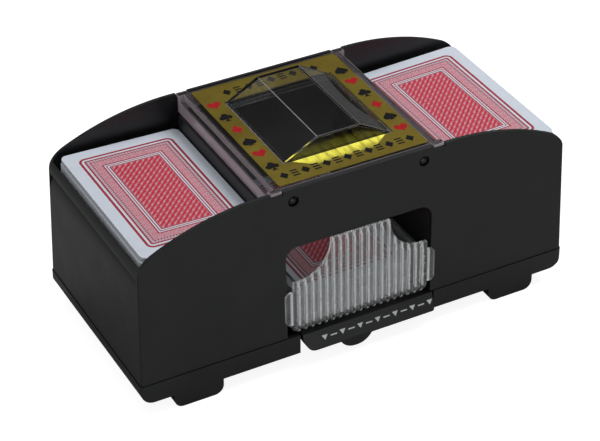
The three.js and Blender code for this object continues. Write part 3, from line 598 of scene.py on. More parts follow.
def card_rules(recipe, depth, along):
    """The solid and beaded lines that frame the band and the field."""
    beads = recipe.span(wave(recipe, along, BEAD_PITCH), -0.5, 0.3, 0.6, 1.0)
    specks = recipe.span(wave(recipe, along, BEAD_PITCH, math.pi / 2), -0.2, 0.8, 0.3, 0.75)
    cover = recipe.times(rule(recipe, depth, *BEADED_RULE), beads)
    cover = recipe.larger(cover, recipe.times(rule(recipe, depth, *SPECKLED_RULE), specks))
    for centre, half_width in SOLID_RULES:
        cover = recipe.larger(cover, rule(recipe, depth, centre, half_width))
    return cover


def plaited_band(recipe, depth, along):
    """Two crossing strands with a dot in each loop and fine scrolls beside them, on a tinted ground."""
    middle, swing, period = 12.8, 1.35, 4.0
    band = rule(recipe, depth, middle, 1.9)
    strands = None
    for direction in SIDES:
        path = recipe.math("MULTIPLY_ADD", wave(recipe, along, period), direction * swing, middle)
        offset = recipe.minus(depth, path)
        strand = rule(recipe, offset, 0.0, 0.24, 0.14)
        strands = strand if strands is None else recipe.larger(strands, strand)
    loops = recipe.span(recipe.math("ABSOLUTE", wave(recipe, along, period)), 0.86, 0.97)
    dots = recipe.times(loops, rule(recipe, depth, middle, 0.35, 0.15))
    scrolls = recipe.times(wave(recipe, along, period / 3), wave(recipe, depth, 1.3))
    ground = recipe.span(scrolls, 0.0, 0.9, 0.48, 0.92)
    pattern = recipe.larger(recipe.larger(strands, dots), ground)
    return recipe.times(recipe.times(band, pattern), 0.95)


def basket_field(recipe, depth, x, y):
    """A diagonal basket weave: pale dashes in slanting rows, one strand running over the next."""
    pitch = 2.84
    light = 0.05
    rising, falling = recipe.minus(x, y), recipe.math("ADD", x, y)
    for value, share in ((rising, 0.30), (x, 0.13), (falling, 0.07), (y, 0.06)):
        light = recipe.math("MULTIPLY_ADD", wave(recipe, value, pitch), share, light)
    inked = recipe.minus(1.0, recipe.math("MINIMUM", recipe.larger(light, 0.0), 0.75))
    return recipe.times(inked, recipe.span(depth, FIELD_START - 0.1, FIELD_START + 0.1))


SHELL_BLACK = moulded_plastic("black_shell", rgb(0.0075, 0.008, 0.009), rgb(0.011, 0.0115, 0.0125), 0.42)
INNER_BLACK = moulded_plastic("inner_black", rgb(0.007, 0.007, 0.0085), rgb(0.011, 0.011, 0.013), 0.5)
COVER_CLEAR = clear_plastic("cover_clear", rgb(0.97, 0.98, 0.985), 0.02, 1.0, 0.02, 0.12)
# tray plastic whose rib crests carry a painted highlight
TRAY_CLEAR = clear_plastic("tray_clear", rgb(0.90, 0.915, 0.92), 0.06, 0.95, 0.06, 0.8, milky_ribs_painted_highlight=True)
# painted reflection: a pink tint on the lighter, less clear skirt stands in for the red cards mirrored in it
SKIRT_PAINTED_REFLECTION = clear_plastic("frosted_skirt_painted_reflection", rgb(0.62, 0.545, 0.59), 0.12, 0.45, 0.06, 0.3)
# painted highlight: the cover's rounded edges are whiter and less clear, to show bright edge lines
COVER_EDGE_HIGHLIGHT = clear_plastic("cover_edge_painted_highlight", rgb(0.90, 0.90, 0.91), 0.2, 0.42, 0.08, 0.5)
# painted highlight: the tray's rounded edges are whiter and less clear, to show bright rim lines
EDGE_PAINTED_HIGHLIGHT = clear_plastic("painted_highlight_edge", rgb(0.93, 0.94, 0.93), 0.25, 0.45, 0.1, 0.6)
GOLD_FILM = foil()
BLACK_INK = ink("black_ink", rgb(0.008, 0.008, 0.009))
RED_INK = ink("red_ink", rgb(0.36, 0.012, 0.016))
WHITE_INK = ink("white_ink", rgb(0.62, 0.64, 0.66))
CARD_BACK = card_back("card_back")
CARD_EDGE = paper_edge("card_edge")
# The same cards with painted shade, darker all over, for the deck in the tray: lamps through the plastic
# light it too strongly.
SHADED_BACK = card_back("shaded_card_back", 0.55)
SHADED_EDGE = paper_edge("shaded_card_edge", 0.65)
STEEL = metal("shaft_steel", rgb(0.56, 0.57, 0.58), 0.28, (1, 0.05, 1))
MOTOR_STEEL = metal("motor_steel", rgb(0.62, 0.61, 0.58), 0.32, (1, 0.1, 1))
BRASS = metal("contact_brass", rgb(0.75, 0.55, 0.24), 0.3, (0.1, 1, 1))
RUBBER = rubber()
GEAR_NYLON = moulded_plastic("gear_nylon", rgb(0.70, 0.68, 0.62), rgb(0.80, 0.78, 0.72), 0.38, 0.5, 0.01)
CELL_JACKET = moulded_plastic("battery_jacket", rgb(0.016, 0.11, 0.075), rgb(0.025, 0.16, 0.11),
                              0.3, 0.6, 0.004)
RED_PVC = moulded_plastic("red_insulation", rgb(0.36, 0.012, 0.012), rgb(0.48, 0.02, 0.018), 0.42, 0.6, 0.01)
BLACK_PVC = moulded_plastic("black_insulation", rgb(0.01, 0.01, 0.01), rgb(0.02, 0.02, 0.02), 0.42, 0.6, 0.01)


# ---- housing -----------------------------------------------------------------------------------------------
def wall_x(z):
    return LENGTH / 2 - DRAFT * (z - SEAM)


def wall_y(z):
    return DEPTH / 2 - DRAFT * (z - SEAM)


def drafted_ring(z, inset, corner):
    x, y = wall_x(z) - inset, wall_y(z) - inset
    return [(u, v, z) for u, v in rounded_rectangle(-x, x, -y, y, corner)]


def arch_height(x):
    run = max(0.0, abs(x) - ARCH_START)
    return ARCH_TOP - (ARCH_RADIUS - math.sqrt(ARCH_RADIUS ** 2 - run ** 2))


def housing_profile():
    """Side outline: straight ends, rounded shoulders and a flat middle between two arches."""
    slope = (arch_height(SHOULDER_X) - arch_height(SHOULDER_X - 0.01)) / 0.01
    end = wall_x(END_TOP)
    shoulder = (SHOULDER_X, arch_height(SHOULDER_X))
    control = (end, shoulder[1] + slope * (end - SHOULDER_X))
    steps = 26
    half = [(end + DRAFT * (END_TOP - SEAM + 5), SEAM - 5), (end, END_TOP)]
    half += bend(half[-1], control, shoulder, 16)
    for i in range(steps - 1, -1, -1):
        x = ARCH_START + (SHOULDER_X - ARCH_START) * i / steps
        half.append((x, arch_height(x)))
    return half + [(-x, z) for x, z in reversed(half)]


def end_lip(side):
    """The thickened top of an end wall, and what its rounding takes off between the long walls."""
    reach = wall_y(END_TOP) - WALL
    edges = on_side(side, LIP.inside, wall_x(END_TOP) - WALL / 2)
    block = box(*edges, -reach - WALL / 2, reach + WALL / 2, LIP.bottom, END_TOP)
    start = (wall_x(LIP.start), LIP.start)
    curve = bend(start, (wall_x(END_TOP), END_TOP - 1), (LIP.inside, END_TOP - 0.2), 14)
    far = LENGTH / 2 + 1
    outline = [(far, LIP.start), start, *curve, (LIP.inside, END_TOP + 1), (far, END_TOP + 1)]
    return block, prism("y", [(side * x, z) for x, z in outline], -reach, reach)


def upper_housing():
    shell = loft([drafted_ring(SEAM, 0, VERTICAL_CORNER), drafted_ring(TALL, 0, VERTICAL_CORNER)])
    shell = common(shell, prism("y", housing_profile(), -DEPTH, DEPTH))
    hollow = loft([drafted_ring(SEAM - 5, WALL, 1.0), drafted_ring(TALL + 5, WALL, 1.0)])
    window_outline = rounded_rectangle(-WINDOW.x, WINDOW.x, SEAM - 20, WINDOW.top, WINDOW.corner, 12)
    cutters = [hollow, prism("y", window_outline, -DEPTH, -DEPTH / 2 + 8)]
    for side in SIDES:
        edges = on_side(side, NOTCH.inner, NOTCH.outer)
        cutters.append(box(*edges, -DEPTH, DEPTH, ARCH_TOP - NOTCH.depth, ARCH_TOP + 9))
        cutters.append(rod("y", (side * STUD.x, STUD.z), STUD.hole, -DEPTH, DEPTH))
    shell = cut(shell, *cutters)
    bosses, bores = [], []
    for side in SIDES:
        block, rounding = end_lip(side)
        shell = cut(join(shell, block), rounding)
        for end in SIDES:
            at = (side * SCREW.x, end * SCREW.y)
            bosses.append(rod("z", at, SCREW.boss, SEAM, SCREW.boss_top))
            bores.append(rod("z", at, SCREW.hole, SEAM - 1, SCREW.boss_top - 6))
    shell = cut(join(shell, *bosses), *bores)
    return soften(shell, 0.45, 3)


place(upper_housing(), "upper_housing", "housing", "black_shell", SHELL_BLACK)


# ---- base pan ----------------------------------------------------------------------------------------------
def base_block():
    """The tray-shaped lower shell, rounded along its ends and at its four upright corners."""
    x = LENGTH / 2 + BASE_STEP
    y = DEPTH / 2 + BASE_STEP
    profile = (arc(x - BASE_CORNER, BASE_BOTTOM + BASE_CORNER, BASE_CORNER, -90, 0, 12) + [(x, BASE_TOP)])
    profile += [(-u, v) for u, v in reversed(profile)]
    block = prism("y", profile, -y, y)
    block = common(block, prism("z", rounded_rectangle(-x, x, -y, y, VERTICAL_CORNER + BASE_STEP), 0, 30))
    rim = WALL + BASE_STEP
    hollow = box(-x + rim + 2, x - rim - 2, -y + rim, y - rim, BASE_BOTTOM + PLATE, BASE_TOP + 5)
    return cut(block, hollow)


def foot(side, end):
    y = DEPTH / 2 + BASE_STEP - 0.1
    top = BASE_BOTTOM + 1
    outline = [(FOOT.inner, top)]
    outline += arc(FOOT.inner + FOOT.corner, FOOT.corner, FOOT.corner, 180, 270)
    outline += arc(FOOT.outer - FOOT.corner, FOOT.corner, FOOT.corner, -90, 0) + [(FOOT.outer, top)]
    return prism("y", [(side * u, v) for u, v in outline], *on_side(end, y - FOOT.depth, y))


def cell_bay(side):
    """Ribs at both ends of a pair of cells, and the wall between them and the tray."""
    low = BASE_BOTTOM + 1
    front = CELL.front - BAY.front_gap
    rear = CELL.front + CELL.length + BAY.rear_gap
    xs = on_side(side, DOOR.inner - BAY.lap, DOOR.outer + 2)
    wall_xs = on_side(side, PARTITION.inner, PARTITION.outer)
    return [box(*xs, rear, rear + BAY.rib, low, BAY.top),
            box(*xs, front - BAY.rib, front, low, BAY.top),
            box(*wall_xs, front - BAY.rib, rear + 0.1, low, PARTITION.top)]


def screw_column(side, end, y):
    xs = on_side(side, SCREW.x - SCREW.boss, LENGTH / 2 - 1)
    ys = on_side(end, SCREW.y - SCREW.boss, y - 1)
    return box(*xs, *ys, BASE_BOTTOM + 3, BASE_TOP)


def base_pan():
    y = DEPTH / 2 + BASE_STEP
    floor = BASE_BOTTOM + PLATE
    added = []
    for side in SIDES:
        added += cell_bay(side)
        for end in SIDES:
            added += [foot(side, end), screw_column(side, end, y)]
    for x in (CUTOUT.left - LUG.outside, CUTOUT.right - LUG.width + LUG.outside):
        added.append(box(x, x + LUG.width, PIVOT.y - 4, PIVOT.y + 4, BASE_BOTTOM + 1, PIVOT.z + 4))
    half = MOTOR.radius + 2.5
    for saddle_y in (MOTOR.front + 4, MOTOR.back - 7):
        added.append(box(MOTOR.x - half, MOTOR.x + half, saddle_y, saddle_y + 2,
                         BASE_BOTTOM + 1, MOTOR.z - 2))
    pan = join(base_block(), *added)
    removed = [box(CUTOUT.left, CUTOUT.right, -y - 5, -CUTOUT.back, 0, BASE_TOP + 5),
               rod("x", (PIVOT.y, PIVOT.z), PIVOT.radius, CUTOUT.left - 20, CUTOUT.right + 20),
               rod("y", (MOTOR.x, MOTOR.z), MOTOR.radius + 0.25, MOTOR.front - 2, MOTOR.back + 0.5)]
    for side in SIDES:
        xs = on_side(side, DOOR.inner, DOOR.outer)
        removed.append(box(*xs, DOOR.front, DOOR.back, -1, floor + 0.1))
        for end in SIDES:
            at = (side * SCREW.x, end * SCREW.y)
            removed.append(rod("z", at, SCREW.hole, -1, 30))
            removed.append(rod("z", at, SCREW.head + 0.4, -1, SCREW.recess))
    return soften(cut(pan, *removed), 0.5, 3)


place(base_pan(), "base_pan", "housing", "black_shell", SHELL_BLACK)


# ---- press lever -------------------------------------------------------------------------------------------
def lever_face():
    """Front outline of the press bar: its lower corners are rounded."""
    left, right, low = BAR.left, BAR.right, BAR.bottom
    outline = [(left, BAR.top + 1), (left, BAR.top - 1.5)]
    outline += bend(outline[-1], (left + 0.8, low), (left + 6.5, low))
    outline.append((right - 1.2, low))
    return outline + bend(outline[-1], (right, low), (right, low + 1.2)) + [(right, BAR.top + 1)]


def finger_rest():
    """The bump under the bar that a finger presses."""
    top, bottom = BAR.bottom + 1.5, BAR.bottom - BUMP.depth
    outline = [(BUMP.x - BUMP.half_width, top)]
    outline += bend(outline[-1], (BUMP.x - BUMP.half_width * 0.7, bottom), (BUMP.x, bottom))
    outline += bend(outline[-1], (BUMP.x + BUMP.half_width * 0.7, bottom), (BUMP.x + BUMP.half_width, top))
    return prism("y", outline, -BAR.front + 0.6, -BAR.back)


def lever_arms():
    """Two arms with an eye each for the pin, the web between them and the finger over the switch."""
    low, high = PIVOT.z - ARM.half, PIVOT.z + ARM.half
    finger_top = PIVOT.z + STRIKER.rise
    left, right = ARM.lefts[0], ARM.lefts[1] + ARM.width
    solids = []
    for x in ARM.lefts:
        solids.append(box(x, x + ARM.width, -BAR.back - 0.5, PIVOT.y, low, high))
        solids.append(rod("x", (PIVOT.y, PIVOT.z), ARM.eye, x, x + ARM.width))
    solids.append(box(left, right, WEB.front, WEB.back, low + 0.4, high))
    solids.append(box(STRIKER.left, STRIKER.right, STRIKER.front, STRIKER.back, low + 2.8, finger_top))
    solids.append(box(STRIKER.left, right, STRIKER.front + 0.5, PIVOT.y - 5, low + 0.6, finger_top))
    return solids


def press_lever():
    section = [(-BAR.back, BAR.bottom), (-BAR.front, BAR.bottom), (-BAR.front, BAR.bottom + 0.9),
               (-DEPTH / 2 - 0.5, BAR.top), (-BAR.back, BAR.top)]
    lever = prism("x", section, BAR.left, BAR.right)
    lever = common(lever, prism("y", lever_face(), -BAR.front - 1, -BAR.back + 1))
    lever = join(lever, finger_rest(), *lever_arms())
    bore = rod("x", (PIVOT.y, PIVOT.z), PIVOT.radius + PIVOT.running, BAR.left, BAR.right + 1)
    return soften(cut(lever, bore), 0.4, 3)


place(press_lever(), "press_lever", "lever", "black_shell", SHELL_BLACK)


def lever_marks():
    """White press-down arrows with dashes between them, printed on the lever's sloping face."""
    top = Vector((0, -DEPTH / 2 - 0.5, BAR.top))
    low = Vector((0, -BAR.front, BAR.bottom + 0.9))
    down = (low - top).normalized()
    out = Vector((0, down.z, -down.y))
    middle = (top + low) / 2
    arrow = [(-1.5, 1.1), (1.5, 1.1), (0, -1.3)]
    dash = rounded_rectangle(-1.7, 1.7, -0.3, 0.3, 0.28, 3)
    first, pitch, count = -19.0, 4.55, 13
    pieces = []
    for i in range(count):
        outline = arrow if i % 2 == 0 else dash
        rings = []
        for lift in (-0.05, 0.04):
            start = middle + Vector((first + i * pitch, 0, 0)) + out * lift
            rings.append([tuple(start + Vector((u, 0, 0)) - down * v) for u, v in outline])
        pieces.append(loft(rings))
    return merged(pieces)


def merged(pieces):
    """Several separate solids as one object."""
    work = bmesh.new()
    for piece in pieces:
        work.from_mesh(piece.data)
    base = pieces[0]
    work.to_mesh(base.data)
    work.free()
    discard(*pieces[1:])
    return base


place(lever_marks(), "lever_marks", "lever", "black_shell", WHITE_INK, nodes=[])


# ---- tray --------------------------------------------------------------------------------------------------
def front_path():
    """Outside of the tray front in side view, from under its foot to its top: (y, z) points with normals."""
    front = wall_y(TRAY.bottom + TRAY.fillet) + TRAY.proud
    centre = Vector((TRAY.fillet - front, TRAY.bottom + TRAY.fillet))
    down = Vector((0, -1))
    path = [(centre + Vector((run, -TRAY.fillet)), down) for run in (TRAY.foot, TRAY.foot / 2)]
    for degrees in range(0, 91, 9):
        normal = Vector((-math.sin(math.radians(degrees)), -math.cos(math.radians(degrees))))
        path.append((centre + normal * TRAY.fillet, normal))
    outwards = Vector((-1, DRAFT)).normalized()
    z = math.ceil(centre.y)
    while z <= TRAY.top:
        path.append((Vector((-wall_y(z) - TRAY.proud, z)), outwards))
        z += 0.4
    return path


def shoulder_curve(steps=24):
    """The concave curve from the tab down to the shoulder, as (x, z) points."""
    end = TRAY.x - TRAY.curve_end
    points = []
    for i in range(steps + 1):
        angle = math.radians(90 * i / steps)
        reach = end - (end - TRAY.tab) * math.cos(angle)
        points.append((reach, TRAY.top - (TRAY.top - TRAY.shoulder) * math.sin(angle)))
    return points


def panel_top(reach):
    """Height of the tray front's top edge at a distance from the middle."""
    if reach <= TRAY.tab:
        return TRAY.top
    end = TRAY.x - TRAY.curve_end
    share = max(0.0, (end - reach) / (end - TRAY.tab))
    return TRAY.top - (TRAY.top - TRAY.shoulder) * math.sqrt(1 - share ** 2)


def bead(x, stations):
    """A half-round rib along a path of (point, normal, size) stations."""
    rings = []
    for point, normal, size in stations:
        ring = []
        for step in range(11):
            angle = math.pi * step / 10
            out = point + normal * RIB.height * size * math.sin(angle)
            ring.append((x + RIB.width / 2 * size * math.cos(angle), out.x, out.y))
        for corner in (-1, 1):
            foot = point - normal * RIB.root
            ring.append((x + corner * RIB.width / 2 * size, foot.x, foot.y))
        rings.append(ring)
    return loft(rings)


def tray_rib(x, path):
    """One rib, rounded off under the top edge and faded out under the foot."""
    top = panel_top(abs(x) + RIB.width / 2) - RIB.stop
    reached = [(point, normal) for point, normal in path if point.y <= top]
    ease = (0.25, 0.66, 0.87, 0.97)
    stations = []
    for i, (point, normal) in enumerate(reached):
        from_end = min(i, len(reached) - 1 - i)
        stations.append((point, normal, ease[from_end] if from_end < len(ease) else 1.0))
    return bead(x, stations)


def tray_panel(path):
    """The front wall with its foot, trimmed to the raised tab and the two concave shoulders."""
    outside = [tuple(point) for point, _ in path]
    inside = [tuple(point - normal * TRAY.panel) for point, normal in path]
    panel = prism("x", outside + inside[::-1], -TRAY.x, TRAY.x)
    low_corner = 2.0
    outline = arc(TRAY.x - low_corner, TRAY.bottom + low_corner - 0.01, low_corner, -90, 0)
    outline += [(TRAY.x, TRAY.shoulder)] + shoulder_curve()[::-1]
    outline += [(-x, z) for x, z in reversed(outline)]
    return common(panel, prism("y", outline, -DEPTH, 0))


def tray_wing(side):
    edges = on_side(side, TRAY.x - 1.5, WING.x)
    outline = rounded_rectangle(*edges, WING.bottom, WING.top, WING.corner)
    near = [(x, -wall_y(z) - 0.15, z) for x, z in outline]
    far = [(x, -wall_y(z) - TRAY.proud, z) for x, z in outline]
    return loft([near, far])


def card_tray():
    path = front_path()
    front = -DEPTH / 2 + 3
    low = TRAY.bottom + 0.1
    x, wall = TRAY_BOX.x, TRAY_BOX.wall
    added = [box(-x, x, front, TRAY_BOX.back, low, low + TRAY_BOX.floor)]
    for side in SIDES:
        edges = on_side(side, x - wall, x)
        added.append(box(*edges, front - 1.8, TRAY_BOX.side_back, low, TRAY_BOX.side_top))
        added.append(tray_wing(side))
    tray = join(tray_panel(path), *added)
    wear(tray, TRAY_CLEAR, EDGE_PAINTED_HIGHLIGHT)
    # the rounded edges take the second finish, a painted highlight
    soften(tray, 0.4, 2, 40, edge_slot=1)
    tray.modifiers.clear()
    ribs_each_side = int((TRAY.x - RIB.width) / RIB.pitch)
    ribs = [tray_rib(i * RIB.pitch, path) for i in range(-ribs_each_side, ribs_each_side + 1)]
    tray = join(tray, merged(ribs))
    shade(tray, 40)
    return tray


place(card_tray(), "card_tray", "tray", "clear_plastic", TRAY_CLEAR)


# ---- cover, label and studs --------------------------------------------------------------------------------
def dome_section(inset):
    top = DOME_TOP - inset
    low = ARCH_TOP - COVER.plate - 2
    ridge = DOME.ridge - inset * 0.4
    foot_x = DOME.x - inset
    right = [(foot_x, low), (foot_x, ARCH_TOP), (ridge, top)]
    return right + [(-x, z) for x, z in reversed(right)]


def frost_outer_walls_painted_reflection(cover):
    """Gives the upright outer faces, except the front one, the third finish: lighter, less clear plastic
    whose pink tint is a painted reflection of the red cards.
    """
    ends, rear = (COVER.plate_x - 0.1) * MM, (COVER.y + MIDDLE_Y - 0.1) * MM
    for face in cover.data.polygons:
        upright = max(abs(face.normal.x), abs(face.normal.y)) > 0.95
        if upright and (abs(face.center.x) > ends or face.center.y > rear):
            face.material_index = 2


def top_cover():
    x, y, thin = COVER_X, COVER.y, COVER.thin
    cover = box(-COVER.plate_x, COVER.plate_x, -y, y, COVER.ledge - 2.2, ARCH_TOP)
    cover = join(cover, box(-x, x, -y, y, COVER.skirt, COVER.ledge))
    plate_room, skirt_room = COVER.plate_x - thin, x - thin
    cover = cut(cover,
                box(-plate_room, plate_room, -y + thin, y - thin, 0, ARCH_TOP - COVER.plate),
                box(-skirt_room, skirt_room, -y + thin, y - thin, 0, COVER.ledge - COVER.plate))
    ears = []
    for side in SIDES:
        for end in SIDES:
            ears.append(box(*on_side(side, EAR.inner, EAR.outer), *on_side(end, y - 1, EAR.y),
                            ARCH_TOP - EAR.drop, ARCH_TOP))
            ears.append(box(*on_side(side, EAR.inner, x), *on_side(end, y - thin, y),
                            COVER.ledge - 1, ARCH_TOP))
    cover = join(cover, *ears, prism("y", dome_section(0), -DOME.y, DOME.y))
    cover = cut(cover, prism("y", dome_section(DOME.wall), -DOME.y + DOME.wall, DOME.y - DOME.wall))
    wear(cover, COVER_CLEAR, COVER_EDGE_HIGHLIGHT, SKIRT_PAINTED_REFLECTION)
    frost_outer_walls_painted_reflection(cover)
    # the rounded edges take the second finish, a painted edge highlight
    return soften(cover, 0.4, 3, 20, edge_slot=1)


place(top_cover(), "top_cover", "cover", "clear_plastic", COVER_CLEAR)


def cover_label():
    gap = 0.4
    front, rear = label_low.y - MIDDLE_Y, label_high.y - MIDDLE_Y
    outline = rounded_rectangle(label_low.x, label_high.x, front, rear, 1.2, 5)
    film = prism("z", outline, label_low.z, label_high.z)
    x, y = DOME.x + gap, DOME.y + gap
    opening = box(-x, x, -y, y, label_low.z - 1, label_high.z + 1)
    return soften(cut(film, opening), 0.06, 2)


def heart(size, upside_down=False):
    points = []
    for i in range(40):
        t = 2 * math.pi * i / 40
        u = 16 * math.sin(t) ** 3
        v = 13 * math.cos(t) - 5 * math.cos(2 * t) - 2 * math.cos(3 * t) - math.cos(4 * t) + 2.5
        points.append((u * size / 32, (-v if upside_down else v) * size / 32))
    return points


def stem(size):
    foot_half, waist = 0.26 * size, 0.05 * size
    side = bend((foot_half, -0.5 * size), (waist, -0.42 * size), (waist, 0.0), 6)
    side = [(foot_half, -0.5 * size)] + side
    return side + [(-u, v) for u, v in reversed(side)]


def printed(outline):
    return prism("z", outline, label_high.z - 0.05, label_high.z + 0.04)


def heart_pip(size):
    return printed(heart(size))


def spade_pip(size):
    leaf = printed([(u, v + 0.06 * size) for u, v in heart(size, True)])
    return join(leaf, printed(stem(size)))


def club_pip(size):
    radius = 0.235 * size
    lobes = [printed(arc(side * 0.25 * size, -0.02 * size, radius, 0, 360, 28)[:-1]) for side in SIDES]
    crown = printed(arc(0, 0.26 * size, radius, 0, 360, 28)[:-1])
    heart_of_it = printed(arc(0, 0.08 * size, 0.13 * size, 0, 360, 20)[:-1])
    return join(crown, *lobes, heart_of_it, printed(stem(size)))


def diamond_pip(size):
    half_u, half_v = 0.43 * size, 0.54 * size
    corners = [(half_u, 0), (0, half_v), (-half_u, 0), (0, -half_v)]
    outline = []
    for i in range(4):
        start, end = corners[i], corners[(i + 1) % 4]
        inward = ((start[0] + end[0]) * 0.44, (start[1] + end[1]) * 0.44)
        outline += bend(start, inward, end, 6)
    return printed(outline)


def moved(piece, x, y):
    """A copy of a printed shape, moved over the label."""
    copy = link("print", piece.data.copy())
    copy.data.transform(Matrix.Translation((x * MM, y * MM, 0)))
    return copy


def label_print():
    """Two columns of suit pips, and rows of lozenges and bars in place of lettering."""
    size, column, row_pitch, first_row = 6.5, 32.4, 11.15, 27.9
    shapes = {"heart": heart_pip(size), "spade": spade_pip(size), "club": club_pip(size),
              "diamond": diamond_pip(size)}
    orders = {-1: ("heart", "club", "diamond", "spade"), 1: ("spade", "heart", "club", "diamond")}
    red, black = [], []
    for side, order in orders.items():
        for row in range(6):
            suit = order[row % 4]
            copy = moved(shapes[suit], side * column, first_row - row * row_pitch)
            (red if suit in ("heart", "diamond") else black).append(copy)
    for y, count, pitch in ((-36.7, 13, 5.2), (35.7, 9, 5.6)):
        for i in range(count):
            x = (i - (count - 1) / 2) * pitch
            black += frieze_unit(x, y, i % 2 == 0)
    discard(*shapes.values())
    return merged(red), merged(black)


def frieze_unit(x, y, lozenge):
    """A lozenge, or three stacked bars."""
    if lozenge:
        half_u, half_v = 2.1, 2.6
        return [printed([(x + half_u, y), (x, y + half_v), (x - half_u, y), (x, y - half_v)])]
    half_u, half_v, pitch = 1.75, 0.46, 1.85
    bars = []
    for middle in (y - pitch, y, y + pitch):
        bar = rounded_rectangle(x - half_u, x + half_u, middle - half_v, middle + half_v, 0.3, 3)
        bars.append(printed(bar))
    return bars


place(cover_label(), "cover_label", "cover", "gold_label", GOLD_FILM)
red_print, black_print = label_print()
place(red_print, "label_print_red", "cover", "gold_label", RED_INK, nodes=[])
place(black_print, "label_print_black", "cover", "gold_label", BLACK_INK, nodes=[])


def cover_stud(side, end):
    """A snap stud: a flange behind the wall and a small domed nose in the round hole."""
    nose = 1.85
    outside = wall_y(STUD.z) - 0.1
    inside = wall_y(STUD.z) - WALL - 0.15
    profile = [(0, inside - 0.9), (STUD.flange, inside - 0.9), (STUD.flange, inside), (nose, inside),
               (nose, outside - 1.1)]
    for degrees in range(15, 91, 15):
        angle = math.radians(degrees)
        profile.append((nose * math.cos(angle), outside - 1.1 + 1.1 * math.sin(angle)))
    stud = turned("y", (side * STUD.x, STUD.z), [(radius, end * y) for radius, y in profile], 40)
    shade(stud, 40)
    return stud


for side, side_name in ((-1, "left"), (1, "right")):
    for end, end_name in ((-1, "front"), (1, "rear")):
        stud_name = f"{side_name}_{end_name}_cover_stud"
        place(cover_stud(side, end), stud_name, "housing", "black_shell", SHELL_BLACK)


# ---- cards -------------------------------------------------------------------------------------------------
def card_stack(name, cards, frame_matrix, offset_of):
    """Separate cards, each a thin rounded slab that lies a little out of line with the rest."""
    half_x, half_y = CARD.width / 2, CARD.length / 2
    outline = rounded_rectangle(-half_x, half_x, -half_y, half_y, CARD.corner, 7)
    count = len(outline)
    vertices, faces, texture, finish = [], [], [], []
    for i in range(cards):
        shift_x, shift_y, turn = offset_of(i)
        high = -i * CARD.pitch
        first = len(vertices)
        for level in (high, high - CARD.thickness):
            for u, v in outline:
                x = u * math.cos(turn) - v * math.sin(turn) + shift_x
                y = u * math.sin(turn) + v * math.cos(turn) + shift_y
                vertices.append(tuple(frame_matrix @ Vector((x, y, level))))
        printed_uv = [(u / CARD.width + 0.5, v / CARD.length + 0.5) for u, v in outline]
        faces.append(tuple(range(first, first + count)))
        faces.append(tuple(range(first + 2 * count - 1, first + count - 1, -1)))
        texture += [printed_uv, [(0.0, 0.0)] * count]
        finish += [0, 1]
        for k in range(count):
            j = (k + 1) % count
            faces.append((first + k, first + count + k, first + count + j, first + j))
            texture.append([(0.0, 0.0)] * 4)
            finish.append(1)
    return textured_object(name, vertices, faces, texture, finish)


def textured_object(name, vertices, faces, texture, finish):
    mesh = new_mesh(name, vertices, faces)
    layer = mesh.uv_layers.new(name="UVMap")
    corner = 0
    for face_uv in texture:
        for uv in face_uv:
            layer.data[corner].uv = uv
            corner += 1
    mesh.polygons.foreach_set("material_index", finish)
    return link(name, mesh)


def jostle(seed, amount, packet_cards=0, rest_shift=(0, 0)):
    """Small seeded misalignments; the cards under the top packet are shifted together."""
    source = random.Random(seed)

    def offset_of(i):
        x = source.uniform(-amount, amount)
        y = source.uniform(-amount, amount)
        turn = source.uniform(-amount, amount) / 60
        if i < packet_cards:
            return x * 0.4, y * 0.4, turn * 0.4
        return x + rest_shift[0], y + rest_shift[1], turn
    return offset_of


def deck(side, offset_of):
    lean = Matrix.Rotation(-side * DECK.tilt, 4, "Y")
    matrix = Matrix.Translation((side * DECK.x, DECK.y, DECK.z)) @ lean
    return card_stack("deck", DECK.cards, matrix, offset_of)


left_jostle = jostle(11, 0.14, 7, (-0.7, -0.6))
place(deck(-1, left_jostle), "left_deck", "left_deck_stack", "cards", CARD_BACK, CARD_EDGE)
place(deck(1, jostle(23, 0.16)), "right_deck", "right_deck_stack", "cards", CARD_BACK, CARD_EDGE)
tray_cards = int((TRAY_STACK.top - TRAY_STACK.bottom) / CARD.pitch)
tray_matrix = Matrix.Translation((0, TRAY_STACK.y, TRAY_STACK.top))
place(card_stack("tray", tray_cards, tray_matrix, jostle(31, 0.25)), "tray_cards", "tray", "cards",
      SHADED_BACK, SHADED_EDGE)


# ---- CAD nodes that stay -----------------------------------------------------------------------------------
def refine(node, material, width):
    """A kept CAD node gets small rounded edges and its own finish."""
    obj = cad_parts[node]
    obj.data.materials.clear()
    obj.data.materials.append(material)
    weld = obj.modifiers.new("welded", "WELD")
    weld.merge_threshold = 0.002 * MM
    add_bevel(obj, width, 2, 35)
    weighted = obj.modifiers.new("even_normals", "WEIGHTED_NORMAL")
    weighted.keep_sharp = True


PAIRED = {
    "card_bed": (INNER_BLACK, 0.25), "gate_plate": (INNER_BLACK, 0.3), "battery_inner": (CELL_JACKET, 0.2),
    "battery_outer": (CELL_JACKET, 0.2), "front_contact": (BRASS, 0.1), "rear_contact": (BRASS, 0.1),
    "battery_door": (SHELL_BLACK, 0.3), "feed_shaft": (STEEL, 0.2), "eject_shaft": (STEEL, 0.2),
    "feed_tyre_front": (RUBBER, 0.4), "feed_tyre_rear": (RUBBER, 0.4), "eject_tyre": (RUBBER, 0.4),
    "feed_gear": (GEAR_NYLON, 0.12), "eject_gear": (GEAR_NYLON, 0.12), "idler_gear": (GEAR_NYLON, 0.12),
    "transfer_gear": (GEAR_NYLON, 0.12), "front_screw": (STEEL, 0.15), "rear_screw": (STEEL, 0.15),
}
for piece_name, (finish_material, edge_width) in PAIRED.items():
    for side_name in ("left", "right"):
        refine(f"{side_name}_{piece_name}", finish_material, edge_width)
